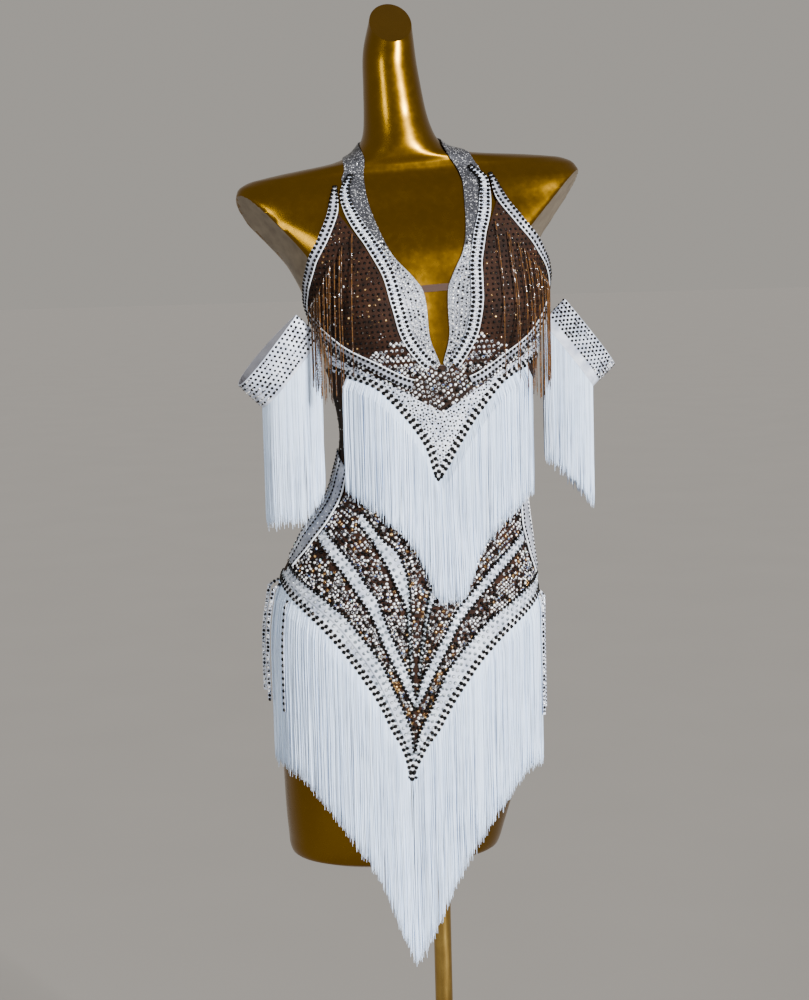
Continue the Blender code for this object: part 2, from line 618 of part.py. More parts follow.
def arm_fringe(side, rim, centre, size):
    """Strands round the lower rim of an armband, straight down, from a strip below the rim."""
    strands = ARM_FRINGE.strands
    rim = np.concatenate([rim, rim[:1]])
    length = travelled(rim)
    pitch = length[-1] / strands
    starts = np.arange(strands) * pitch
    top = along(rim, length, np.sort(np.concatenate([starts, starts + pitch * ARM_FRINGE.strand_share])))
    top[:, 2] -= 2 * CLOTH
    root = top - np.array([0, 0, ARM_FRINGE.strip_height])
    flat = top[:, :2] - centre[:2]
    outwards = flat / np.linalg.norm(flat, axis=1, keepdims=True)
    hem = np.asarray(size.hem, float)
    middles = (root[0::2] + root[1::2]) / 2
    tips = smooth_column(hem[:, 0], hem[:, 1], middles[:, 0])
    fringe(f"arm_fringe_{side}", root, top, tips, ARM_FRINGE, outwards, None, WHITE, closed=True)


def fringes():
    edge_fringe("bodice_fringe", partial(edge_height, BUST_POINT_EDGE), partial(edge_height, BODICE_HEM),
                BODICE_FRINGE_REACH, BODICE_FRINGE, LAYER["top"], CLEARANCE["bodice"], WHITE)
    edge_fringe("skirt_fringe_front", partial(edge_height, HIP_V_EDGE),
                partial(edge_height, SKIRT_FRONT_HEM), (1 - SIDE_SEAM, SIDE_SEAM - 1),
                SKIRT_FRONT_FRINGE, LAYER["top"], CLEARANCE["skirt"], WHITE)
    reach = 179 - SIDE_SEAM
    edge_fringe("skirt_fringe_back", partial(behind, HIP_BACK_EDGE), partial(behind, SKIRT_BACK_HEM),
                (-reach, reach), SKIRT_BACK_FRINGE, LAYER["top"], CLEARANCE["skirt"], WHITE, facing=180.0)
    for side, reach in BEAD_REACH.items():
        edge_fringe(f"bead_fringe_{side}", partial(edge_height, BEAD_START),
                    partial(edge_height, BEAD_ENDS), reach, BEAD_FRINGE, LAYER["band"],
                    CLEARANCE["beads"], AMBER)


for old in list(bpy.data.objects):
    bpy.data.objects.remove(old, do_unlink=True)
dress_collection = bpy.data.collections.new("latin dance dress on dress form")
bpy.context.scene.collection.children.link(dress_collection)
dress_form()
stand()
bodice()
back()
hips()
armbands()
fringes()
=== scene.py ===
import math

import bmesh
import bpy
import numpy as np
from mathutils import Matrix, Vector
from mathutils.kdtree import KDTree


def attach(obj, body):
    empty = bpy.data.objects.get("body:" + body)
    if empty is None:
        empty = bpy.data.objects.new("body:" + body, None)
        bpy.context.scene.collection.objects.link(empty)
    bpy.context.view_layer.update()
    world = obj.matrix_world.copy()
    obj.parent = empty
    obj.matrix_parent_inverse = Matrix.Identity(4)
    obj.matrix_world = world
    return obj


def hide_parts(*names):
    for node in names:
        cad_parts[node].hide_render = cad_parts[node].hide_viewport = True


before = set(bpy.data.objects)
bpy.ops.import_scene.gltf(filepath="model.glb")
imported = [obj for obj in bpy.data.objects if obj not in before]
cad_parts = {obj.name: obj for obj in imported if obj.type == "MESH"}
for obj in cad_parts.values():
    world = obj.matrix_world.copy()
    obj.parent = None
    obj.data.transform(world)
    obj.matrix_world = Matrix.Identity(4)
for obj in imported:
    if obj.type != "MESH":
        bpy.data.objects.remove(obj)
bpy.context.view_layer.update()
mm = 0.001  # every size below is in millimetres, and so is every point until its mesh is made
chance = np.random.default_rng(11)
sides = {"Left": -1, "Right": 1}  # Left is the -X side
print("frame loaded:", len(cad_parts), "nodes")

# The dress form: the same sections as the solid. Angles are degrees from the centre front, and
# +90 is the +X side. Columns: height, centreX, centreY, halfWidth, front, back, tilt, lean, squareness
bodyForm = {
    "sections": [
        (600, -57, 0, 112, 78, 90, 0, 0, 2.3),
        (607, -57, 0, 129, 92, 105, 0, 0, 2.3),
        (627, -55, 0, 134, 97, 110, 0, 0, 2.3),
        (712, -45, 0, 148, 101, 122, -2, 0, 2.3),
        (792, -38, 0, 157, 103, 131, -4, 0, 2.25),
        (865, -36, 0, 160, 103, 130, -4, 0, 2.2),
        (926, -31, 0, 156, 99, 119, -4, 0, 2.2),
        (987, -21, 0, 140, 92, 100, -3, 0, 2.2),
        (1060, -4, 0, 117, 83, 84, 0, 0, 2.2),
        (1121, 4, 0, 113, 85, 84, 1, 0, 2.2),
        (1182, 4, 0, 122, 92, 88, 2, 0, 2.2),
        (1243, 1, 0, 136, 96, 93, 3, 0, 2.2),
        (1292, -2, 0, 146, 96, 96, 3.5, 0, 2.2),
        (1330, -8, 0, 158, 91, 96, 3.5, 0, 2.3),
        (1360, -12, 4, 178, 82, 88, 3.5, 0, 2.5),
        (1390, -16, 8, 200, 66, 70, 3.5, 0, 2.8),
        (1412, -18, 10, 207, 55, 60, 3.5, 0, 3.0),
        (1425, -20, 12, 203, 47, 52, 3.5, 0, 2.8),
        (1433, -21, 13, 190, 44, 48, 3.5, 0, 2.5),
        (1440, -22, 14, 150, 44, 48, 3.5, 0, 2.3),
        (1448, -25, 14, 84, 47, 51, 3.5, 0, 2.2),
        (1458, -28, 14, 56, 48, 50, 3, 0, 2.1),
        (1475, -29, 14, 43, 46, 47, 2, 0, 2.0),
        (1500, -32, 13, 37.5, 41, 43, 1, 0, 2.0),
        (1530, -35, 10, 34.5, 38, 40, 0, 6, 2.0),
        (1570, -38, 5, 31, 34, 36, 0, 24, 2.0),
        (1604, -36, 0, 25, 27, 29, 0, 42, 2.0),
    ],
    "bustRise": 20.0, "bustSpread": 36.0, "bustAcross": 88.0, "bustHeight": 1262.0,
    "rings": 190, "columns": 132, "shoulderRings": (1395, 1460, 2.5),
    # the flat plates of the arms: a place on each and the way it faces, and where they end
    "armPlates": [((-223, 6, 1402), (-0.76, -0.36, -0.54)), ((187, 6, 1425), (0.78, -0.30, -0.55))],
    "plateMiddle": -18, "plateAcross": 90, "plateFoot": 1290, "plateFades": (1312, 36),
    "plateEdge": 0.4, "edgeFades": (1330, 34), "edgeLeans": 9,
}
sectionTable = np.array(bodyForm["sections"], float)
layers = {"ground": 1.0, "tape": 2.1, "top": 2.4, "band": 3.6}  # how far a piece lies off the form
clothWall = 1.0


def smoothColumn(known, values, wanted):
    # monotone cubic through the known points
    known, values = np.asarray(known, float), np.asarray(values, float)
    wanted = np.clip(np.asarray(wanted, float), known[0], known[-1])
    step = np.diff(known)
    slope = np.diff(values) / step
    tangent = np.zeros(len(known))
    tangent[0], tangent[-1] = slope[0], slope[-1]
    for i in range(1, len(known) - 1):
        if slope[i - 1] * slope[i] > 0:
            before, after = 2 * step[i] + step[i - 1], step[i] + 2 * step[i - 1]
            tangent[i] = (before + after) / (before / slope[i - 1] + after / slope[i])
    cell = np.clip(np.searchsorted(known, wanted) - 1, 0, len(step) - 1)
    t = (wanted - known[cell]) / step[cell]
    return (values[cell] * (1 + 2 * t) * (1 - t) ** 2 + step[cell] * tangent[cell] * t * (1 - t) ** 2
            + values[cell + 1] * t * t * (3 - 2 * t) + step[cell] * tangent[cell + 1] * t * t * (t - 1))


def edgeHeight(edge, angle):
    # an edge is a table of (angle, height), the same on both sides
    table = np.asarray(edge, float)
    return smoothColumn(table[:, 0], table[:, 1], np.abs(angle))


def behind(edge, turn):
    # the same for an angle counted from the centre back
    return edgeHeight(edge, 180 - np.abs(turn))


def paired(angles, heights):
    # places of the form, each an angle and a height
    return np.stack(np.broadcast_arrays(angles, heights), -1)


def unit(rows):
    return rows / np.linalg.norm(rows, axis=-1, keepdims=True)


def formPoint(places):
    angle, height = np.radians(places[..., 0]), places[..., 1]
    columns = [smoothColumn(sectionTable[:, 0], sectionTable[:, k], height) for k in range(1, 9)]
    centreX, centreY, halfWidth, front, back, tilt, lean, squareness = columns
    power = 2 / squareness
    across = halfWidth * np.sign(np.sin(angle)) * np.abs(np.sin(angle)) ** power
    depth = np.where(np.cos(angle) > 0, front, back)
    forward = depth * np.sign(np.cos(angle)) * np.abs(np.cos(angle)) ** power
    away = (np.abs(across) - bodyForm["bustAcross"]) ** 2 + (height - bodyForm["bustHeight"]) ** 2
    bust = np.exp(-away / (2 * bodyForm["bustSpread"] ** 2))
    forward = forward + np.where(forward > 0, bodyForm["bustRise"] * bust, 0)
    z = height + across * np.tan(np.radians(tilt)) - forward * np.tan(np.radians(lean))
    return np.stack([centreX + across, centreY - forward, z], -1)


def formNormal(places):
    turn, rise = 0.4, 0.6
    inside = np.clip(places[..., 1], sectionTable[0, 0] + rise, sectionTable[-1, 0] - rise)
    places = paired(places[..., 0], inside)
    around = formPoint(places + (turn, 0)) - formPoint(places - (turn, 0))
    up = formPoint(places + (0, rise)) - formPoint(places - (0, rise))
    return unit(np.cross(around, up))


# Soft drag folds that every cut piece on the form follows: angle, height, direction, length, width, rise
dragFolds = [
    (-52, 1046, 62, 60, 7, 1.3), (-40, 1030, 55, 46, 6, 0.9), (-68, 1008, 48, 52, 8, 1.1),
    (50, 1040, 118, 56, 7, 1.2), (66, 1012, 128, 50, 7, 1.0), (34, 990, 112, 40, 6, 0.7),
    (-20, 985, 70, 44, 6, 0.7), (-36, 925, 35, 50, 8, 0.8), (40, 930, 142, 48, 7, 0.8),
    (-84, 950, 20, 46, 8, 1.0), (86, 948, 160, 44, 7, 0.9), (-74, 1130, 80, 50, 6, 1.1),
    (74, 1128, 96, 52, 6, 1.0), (-14, 1130, 12, 36, 6, 0.6), (20, 1152, 170, 34, 6, 0.6),
    (128, 920, 25, 60, 8, 1.1), (160, 905, 165, 56, 7, 0.9), (200, 902, 15, 58, 8, 1.0),
    (232, 922, 158, 60, 7, 1.1), (-46, 1300, 64, 30, 5, 0.5), (48, 1300, 112, 30, 5, 0.5),
]
degreeLength = 2.4  # about how many millimetres a degree is round the hips


def foldRise(places):
    rise = np.zeros(places.shape[:-1])
    for foldAngle, foldHeight, direction, length, width, most in dragFolds:
        across = (np.mod(places[..., 0] - foldAngle + 180, 360) - 180) * degreeLength
        up = places[..., 1] - foldHeight
        c, s = math.cos(math.radians(direction)), math.sin(math.radians(direction))
        rise += most * np.exp(-((across * c + up * s) / length) ** 2
                              - ((up * c - across * s) / width) ** 2)
    return rise


def onDress(places, lift):
    lift = np.asarray(lift + foldRise(places))[..., None]
    return formPoint(places) + formNormal(places) * lift


# a coarse grid of the form, to find the nearest place from
gridPlaces = np.stack(np.meshgrid(np.arange(-180, 180, 3.0), np.arange(640, 1520, 5.0)), -1).reshape(-1, 2)
gridTree = KDTree(len(gridPlaces))
for index, point in enumerate(formPoint(gridPlaces)):
    gridTree.insert(point, index)
gridTree.balance()


def placesUnder(points):
    # the place of the form straight under each point
    flat = np.asarray(points, float).reshape(-1, 3)
    place = np.array([gridPlaces[gridTree.find(p)[1]] for p in flat])
    turn, rise, furthest = 0.2, 0.5, 4
    for _ in range(6):
        here = formPoint(place)
        around = (formPoint(place + (turn, 0)) - here) / turn
        up = (formPoint(place + (0, rise)) - here) / rise
        miss = flat - here
        a, b, c = (around ** 2).sum(1), (around * up).sum(1), (up ** 2).sum(1)
        p, q = (around * miss).sum(1), (up * miss).sum(1)
        det = a * c - b * b
        move = np.stack([(p * c - q * b) / det, (q * a - p * b) / det], -1)
        place = place + np.clip(move, -furthest, furthest)
    return place.reshape(*np.shape(points)[:-1], 2)


def travelled(points):
    return np.concatenate([[0], np.cumsum(np.linalg.norm(np.diff(points, axis=0), axis=1))])


def alongLine(points, length, steps):
    return np.stack([np.interp(steps, length, points[:, k]) for k in range(points.shape[1])], -1)


def resampled(points, count):
    length = travelled(points)
    fine = np.linspace(0, length[-1], 500)
    curve = np.stack([smoothColumn(length, points[:, k], fine) for k in range(points.shape[1])], -1)
    length = travelled(curve)
    return alongLine(curve, length, np.linspace(0, length[-1], count))


def onSide(table, side):
    # a table's places on one side of the form, as points
    return formPoint(np.asarray(table, float) * (side, 1))


finishes = {}  # every material, by its name


def newFinish(name, colour, roughness, **sockets):
    finish = bpy.data.materials.new(name)
    finish.use_nodes = True
    tree = finish.node_tree
    shader = tree.nodes["Principled BSDF"]
    shader.inputs["Base Color"].default_value = (*colour, 1)
    shader.inputs["Roughness"].default_value = roughness
    for socket, value in sockets.items():
        shader.inputs[socket.replace("_", " ")].default_value = value
    finishes[name] = finish
    return tree, shader


def addNode(tree, kind, inputs, **settings):
    node = tree.nodes.new(kind)
    for key, value in settings.items():
        setattr(node, key, value)
    for socket, value in inputs.items():
        if isinstance(value, bpy.types.NodeSocket):
            tree.links.new(value, node.inputs[socket])
        else:
            node.inputs[socket].default_value = value
    return node


def ramp(tree, factor, stops):
    # a stop is a place with a colour, or with one value for a grey
    node = addNode(tree, "ShaderNodeValToRGB", {"Fac": factor})
    elements = node.color_ramp.elements
    while len(elements) < len(stops):
        elements.new(0.5)
    for element, (place, colour) in zip(elements, stops):
        element.position = place
        element.color = (*colour, 1) if np.ndim(colour) else (colour, colour, colour, 1)
    return node.outputs["Color"]


def toned(tree, shader, factor, stops, socket="Base Color"):
    tree.links.new(ramp(tree, factor, stops), shader.inputs[socket])


def bumped(tree, shader, height, distance, strength=1.0):
    bump = addNode(tree, "ShaderNodeBump", {"Height": height, "Distance": distance * mm,
                                            "Strength": strength})
    tree.links.new(bump.outputs["Normal"], shader.inputs["Normal"])


def onObject(tree):
    return addNode(tree, "ShaderNodeTexCoord", {}).outputs["Object"]


def noise(tree, size, detail=3.0, stretch=None):
    place = onObject(tree)
    if stretch:
        place = addNode(tree, "ShaderNodeMapping", {"Vector": place, "Scale": stretch}).outputs[0]
    return addNode(tree, "ShaderNodeTexNoise", {"Vector": place, "Scale": 1 / (size * mm),
                                                "Detail": detail}).outputs["Fac"]


def cells(tree, size, output):
    return addNode(tree, "ShaderNodeTexVoronoi", {"Vector": onObject(tree),
                                                  "Scale": 1 / (size * mm)}).outputs[output]


def waves(tree, size, direction, **inputs):
    return addNode(tree, "ShaderNodeTexWave", {"Vector": onObject(tree), "Scale": 1 / (size * mm),
                                               **inputs}, bands_direction=direction).outputs["Fac"]


def mathNode(tree, operation, first, second):
    return addNode(tree, "ShaderNodeMath", {0: first, 1: second}, operation=operation).outputs[0]


def weighted(tree, first, firstShare, second, secondShare):
    return mathNode(tree, "ADD", mathNode(tree, "MULTIPLY", first, firstShare),
                    mathNode(tree, "MULTIPLY", second, secondShare))


def meshTone(tree):
    # the tone that each face of a mesh carries
    return addNode(tree, "ShaderNodeAttribute", {}, attribute_name="tone").outputs["Fac"]


def goldLacquer():
    tree, shader = newFinish("goldLacquer", (0.235, 0.122, 0.005), 0.36, Metallic=1.0,
                             Coat_Weight=0.01, Coat_Roughness=0.2)
    toned(tree, shader, noise(tree, 60, 4), [(0.3, (0.205, 0.104, 0.004)), (0.7, (0.222, 0.114, 0.0045))])
    toned(tree, shader, noise(tree, 9, 5), [(0.3, 0.22), (0.75, 0.30)], "Roughness")
    bumped(tree, shader, noise(tree, 5, 2), 0.02)


def armPlateMetal():
    tree, shader = newFinish("armPlate", (0.20, 0.16, 0.11), 0.42, Metallic=0.6)
    toned(tree, shader, noise(tree, 14, 5), [(0.3, (0.16, 0.125, 0.085)), (0.7, (0.25, 0.20, 0.14))])
    bumped(tree, shader, noise(tree, 2, 3), 0.03)


def standMetal():
    # brushed upwards
    tree, shader = newFinish("standMetal", (0.40, 0.25, 0.06), 0.26, Metallic=1.0)
    toned(tree, shader, noise(tree, 30, 5), [(0.3, (0.33, 0.20, 0.05)), (0.7, (0.46, 0.30, 0.08))])
    toned(tree, shader, noise(tree, 4, 6, (1, 1, 0.08)), [(0.3, 0.2), (0.7, 0.36)], "Roughness")


def satin(name, colour, paintedShade, roughness=0.34):
    # a fine diagonal weave, with soft darker patches of painted shade where the satin's sheen falls off
    tree, shader = newFinish(name, colour, roughness, Sheen_Weight=0.25, Sheen_Roughness=0.4,
                             Anisotropic=0.4, Specular_IOR_Level=0.6)
    toned(tree, shader, noise(tree, 16, 4), [(0.3, paintedShade), (0.68, colour)])
    weave = waves(tree, 4.4, "DIAGONAL", Distortion=0.6, Detail=1.0)
    bumped(tree, shader, weighted(tree, weave, 0.25, noise(tree, 11, 3), 1.0), 0.5, 0.7)


def stretchMesh(name, dark, light, cell):
    # small round holes, painted darker than the yarn round them as the shade inside them
    tree, shader = newFinish(name, dark, 0.75, Specular_IOR_Level=0.15)
    hole = cells(tree, cell, "Distance")
    holeShade = ramp(tree, hole, [(0.12, 0.25), (0.42, 1)])
    patch = ramp(tree, noise(tree, 18, 4), [(0.32, dark), (0.7, light)])
    mix = addNode(tree, "ShaderNodeMix", {"Factor": 1.0}, data_type="RGBA", blend_type="MULTIPLY")
    tree.links.new(patch, mix.inputs["A"])
    tree.links.new(holeShade, mix.inputs["B"])
    tree.links.new(mix.outputs["Result"], shader.inputs["Base Color"])
    bumped(tree, shader, hole, 0.4, 0.8)


def glitterCloth(name, dark, light, flake=0.9):
    # each flake has its own lean, and its own brightness up to near white, which is a painted glint
    tree, shader = newFinish(name, light, 0.3, Metallic=0.35)
    value = addNode(tree, "ShaderNodeSeparateColor", {"Color": cells(tree, flake, "Color")}).outputs[0]
    between = tuple((a + b) / 2 for a, b in zip(dark, light))
    toned(tree, shader, value, [(0.0, dark), (0.62, between), (0.9, light), (1.0, (0.98, 0.98, 1.0))])
    toned(tree, shader, value, [(0.2, 0.5), (0.95, 0.12)], "Roughness")
    bumped(tree, shader, value, 0.25, 0.9)


def ribbedElastic(name, dark, light):
    tree, shader = newFinish(name, (0.46, 0.26, 0.18), 0.8)
    ribs = waves(tree, 2.6, "Z")
    # the grooves between the ribs are painted darker, as their shade
    toned(tree, shader, ribs, [(0.2, dark), (0.8, light)])
    bumped(tree, shader, ribs, 0.3)


def twistedThread(name, dark, light, roughness=0.42):
    # the tone of a strand comes from its mesh, where a fringe carries painted light and shade, and the twist
    # from a fine slanted wave
    tree, shader = newFinish(name, light, roughness, Sheen_Weight=0.3, Sheen_Roughness=0.3)
    toned(tree, shader, weighted(tree, noise(tree, 22, 2), 0.35, meshTone(tree), 0.65),
          [(0.15, dark), (0.6, light)])
    bumped(tree, shader, waves(tree, 4.48, "DIAGONAL"), 0.15, 0.6)


def cutGlass(name, stops, roughness, metallic, coat=0.4, specular=0.5):
    # each facet's tone in the mesh is a painted reflection, the bright and dark facets that cut glass over
    # foil shows
    tree, shader = newFinish(name, stops[-1][1], roughness, Metallic=metallic, Coat_Weight=coat,
                             Coat_Roughness=0.05, Specular_IOR_Level=specular)
    toned(tree, shader, weighted(tree, noise(tree, 3, 2), 0.12, meshTone(tree), 0.9), stops)


goldLacquer()
armPlateMetal()
standMetal()
# the second colour of each satin is its painted shade
satin("whiteSatin", (0.76, 0.81, 0.92), (0.33, 0.37, 0.48))
satin("greySatin", (0.44, 0.46, 0.53), (0.20, 0.21, 0.26))
satin("greyLining", (0.56, 0.55, 0.59), (0.44, 0.43, 0.47), 0.6)
satin("whitePiping", (0.84, 0.87, 0.93), (0.64, 0.67, 0.73), 0.45)
stretchMesh("brownMesh", (0.0115, 0.0042, 0.0016), (0.032, 0.0113, 0.0047), 1.5)
stretchMesh("brownNet", (0.010, 0.005, 0.003), (0.030, 0.014, 0.0074), 3.4)
glitterCloth("silverGlitter", (0.009, 0.0095, 0.012), (0.10, 0.102, 0.118))
glitterCloth("whiteGlitter", (0.05, 0.055, 0.075), (0.60, 0.63, 0.70))
ribbedElastic("nudeElastic", (0.036, 0.018, 0.012), (0.088, 0.047, 0.032))
twistedThread("whiteFringe", (0.28, 0.35, 0.48), (0.68, 0.81, 1.0))
satin("fringeTape", (0.78, 0.80, 0.86), (0.60, 0.62, 0.68), 0.6)
twistedThread("amberBeads", (0.016, 0.006, 0.0015), (0.115, 0.046, 0.009), 0.14)
# the brightest stops of these ramps are painted glints, and the darkest painted dark reflections
cutGlass("crystalStone", [(0.26, (0.012, 0.012, 0.016)), (0.46, (0.30, 0.31, 0.35)), (0.75, (1, 1, 1))],
         0.16, 0.35)
cutGlass("auroraStone", [(0.2, (0.02, 0.015, 0.05)), (0.36, (0.28, 0.42, 0.95)), (0.52, (0.55, 0.85, 0.66)),
                         (0.68, (0.95, 0.70, 0.45)), (0.86, (1, 0.95, 0.92))], 0.14, 0.4)
cutGlass("amberStone", [(0.1, (0.03, 0.01, 0.003)), (0.6, (0.30, 0.13, 0.03)), (0.95, (0.9, 0.6, 0.25))],
         0.12, 0.6)
cutGlass("jetStone", [(0.1, (0.0015, 0.0015, 0.0015)), (0.93, (0.004, 0.0035, 0.003)),
                      (0.99, (0.10, 0.085, 0.07))], 0.45, 0.0, 0.0, 0.08)
cutGlass("clearStone", [(0.1, (0.10, 0.12, 0.14)), (0.55, (0.22, 0.25, 0.28)), (0.95, (0.56, 0.61, 0.66))],
         0.12, 0.1)
kind = {"crystal": 0, "aurora": 1, "amber": 2, "jet": 3, "clear": 4}  # the order of a stone mesh's materials
print("finishes made:", len(finishes))


def nodeOf(name):
    # the solid that a piece stands for: skirtFringeBack is skirt_fringe_back
    node = "".join("_" + letter.lower() if letter.isupper() else letter for letter in name)
    return {"dress_form": "form_torso"}.get(node, node)


sharpFrom = 42  # degrees between two faces from which their edge stays sharp


def newObject(name, data):
    thing = bpy.data.objects.new(name, data)
    bpy.context.scene.collection.objects.link(thing)
    return thing


def newPiece(name, points, loops, totals, finishNames, finishOf=None, tones=None, smooth=True):
    # totals is how many corners each face has, and loops is their corners, one after another
    mesh = bpy.data.meshes.new(name)
    points = np.asarray(points, float).reshape(-1, 3) * mm
    totals = np.asarray(totals, np.int32)
    mesh.vertices.add(len(points))
    mesh.vertices.foreach_set("co", points.ravel())
    mesh.loops.add(int(totals.sum()))
    mesh.loops.foreach_set("vertex_index", np.asarray(loops, np.int32).ravel())
    mesh.polygons.add(len(totals))
    mesh.polygons.foreach_set("loop_start", np.concatenate([[0], np.cumsum(totals)[:-1]]).astype(np.int32))
    if finishOf is not None:
        mesh.polygons.foreach_set("material_index", np.asarray(finishOf, np.int32))
    mesh.update(calc_edges=True)
    mesh.validate()
    piece = newObject(name, mesh)
    for finishName in finishNames:
        mesh.materials.append(finishes[finishName])
    if tones is not None:
        mesh.attributes.new("tone", "FLOAT", "FACE").data.foreach_set("value", np.asarray(tones, np.float32))
    if smooth:
        mesh.shade_smooth()
        mesh.set_sharp_from_angle(angle=math.radians(sharpFrom))
    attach(piece, "root")
    if nodeOf(name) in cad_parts:
        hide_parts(nodeOf(name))
    return piece


def facingOut(piece):
    shape = bmesh.new()
    shape.from_mesh(piece.data)
    bmesh.ops.recalc_face_normals(shape, faces=shape.faces)
    shape.to_mesh(piece.data)
    shape.free()
    return piece


def gridQuads(rows, columns, closed=False):
    r = np.arange(rows - 1)[:, None]
    c = np.arange(columns if closed else columns - 1)[None, :]
    d = (c + 1) % columns
    quads = np.stack(np.broadcast_arrays(r * columns + c, r * columns + d, (r + 1) * columns + d,
                                         (r + 1) * columns + c), -1)
    return quads.reshape(-1, 4)


def stackedRings(rings, columns):
    # the faces of closed rings one over another, with a face on each end; the quads come first
    quads = gridQuads(rings, columns, closed=True)
    ends = [np.arange(columns)[::-1], (rings - 1) * columns + np.arange(columns)]
    return np.concatenate([quads.ravel(), *ends]), [4] * len(quads) + [columns, columns]


def wallPiece(name, inner, outer, finishNames, closed=False, finishOf=None, lining=None):
    # a closed cloth wall between two grids of points; finishOf gives each outer quad's finish
    rows, columns = inner.shape[:2]
    count = rows * columns
    quads = gridQuads(rows, columns, closed)
    rims = []
    for r in (0, rows - 1):
        c = np.arange(columns if closed else columns - 1)
        low, high = r * columns + c, r * columns + (c + 1) % columns
        rims.append(np.stack([low, high, high + count, low + count], -1))
    if not closed:
        for c in (0, columns - 1):
            low = np.arange(rows - 1) * columns + c
            rims.append(np.stack([low, low + columns, low + columns + count, low + count], -1))
    faces = np.concatenate([quads[:, ::-1], quads + count, *rims])
    outside = np.zeros(len(quads)) if finishOf is None else finishOf.ravel()
    inside = outside if lining is None else np.full(len(quads), lining)
    kinds = np.concatenate([inside, outside, np.zeros(len(faces) - 2 * len(quads))])
    points = np.concatenate([inner.reshape(-1, 3), outer.reshape(-1, 3)])
    return facingOut(newPiece(name, points, faces.ravel(), np.full(len(faces), 4), finishNames, kinds))


sheets = []  # gathered as the pieces are made, and gone through at the end, when the pieces that they carry have been made


def declareSheet(piece, grid, carried, restsOn=("dressForm",), closed=False):
    # the width, length and area of the cloth that a grid of points stands for, in metres
    if closed:
        grid = np.concatenate([grid, grid[:, :1]], 1)
    across = np.linalg.norm(np.diff(grid, axis=1), axis=-1)
    up = np.linalg.norm(np.diff(grid, axis=0), axis=-1)
    corner = np.cross(grid[1:, 1:] - grid[:-1, :-1], grid[1:, :-1] - grid[:-1, 1:])
    area = np.linalg.norm(corner, axis=-1).sum() / 2
    sheets.append((piece, across.sum(1).max() * mm, up.sum(0).max() * mm, area * mm * mm, restsOn, carried))


def clothPiece(name, places, lift, finishNames, carried=(), restsOn=("dressForm",), finishOf=None):
    # the cloth lies on a grid of places of the form, at the given lift
    inner, outer = onDress(places, lift), onDress(places, lift + clothWall)
    piece = wallPiece(name, inner, outer, finishNames, finishOf=finishOf)
    declareSheet(piece, (inner + outer) / 2, carried, restsOn)


bandTip = {"share": 0.12, "power": 0.7}  # how narrow a band's tip is, and how fast it grows


def routeBand(route, side, rows, width=1, taper=0):
    # a band's middle line, the way across it, and half its width, which grows from the tip
    line = onDress(placesUnder(resampled(onSide(route, side), rows)), 0)
    normal = onDress(placesUnder(line), 1) - line
    across = unit(np.cross(np.gradient(line, axis=0), normal))
    half = np.full(rows, width / 2)
    half[:taper] *= np.linspace(bandTip["share"], 1, taper, endpoint=False) ** bandTip["power"]
    return line, across * side, half


def bandPlaces(line, across, offsets):
    # places of the form along lines beside a band's middle; offsets has one row for each line
    return placesUnder(line[None] + across[None] * np.asarray(offsets)[:, :, None])


def tubePiece(name, paths, radius, columns, finishName, tones, endShare=0.6):
    # upright threads: each path's rings lie flat, and its ends are closed
    count, levels = paths.shape[:2]
    turn = np.arange(columns) * 2 * math.pi / columns
    start = chance.random(count)[:, None] * 2 * math.pi
    ring = np.stack([np.cos(start + turn), np.sin(start + turn), np.zeros((count, columns))], -1)
    size = np.full((count, levels), radius)
    size[:, -1] *= endShare
    points = paths[:, :, None, :] + ring[:, None] * size[:, :, None, None]
    loops, totals = stackedRings(levels, columns)
    loops = loops[None] + (np.arange(count) * levels * columns)[:, None]
    return newPiece(name, points, loops, np.tile(totals, count), [finishName],
                    tones=np.repeat(tones, len(totals)))


def cordPiece(name, runs, radius, finishName, columns=7):
    # piping: each run is (points, normals), and its rings stand across the line
    points, loops, totals = [], [], []
    turn = np.arange(columns) * 2 * math.pi / columns
    for line, normal in runs:
        forward = unit(np.gradient(line, axis=0))
        across = unit(np.cross(forward, normal))
        up = np.cross(across, forward)
        ring = across[:, None] * np.cos(turn)[None, :, None] + up[:, None] * np.sin(turn)[None, :, None]
        runLoops, runTotals = stackedRings(len(line), columns)
        loops.append(runLoops + sum(len(p) for p in points))
        totals += runTotals
        points.append((line[:, None] + ring * radius).reshape(-1, 3))
    newPiece(name, np.concatenate(points), np.concatenate(loops), totals, [finishName])


# A stone is a crown of facets round a flat top. lean is how crookedly stones are set, and the tones are its
# painted reflections
stoneShape = {"facets": 8, "tableShare": 0.5, "rise": 0.5, "sink": 0.12, "lean": 0.10,
              "tone": 0.58, "reflectionContrast": 0.4, "unevenTone": 0.22, "darkTables": 0.6, "tableTones": (0.12, 0.9)}


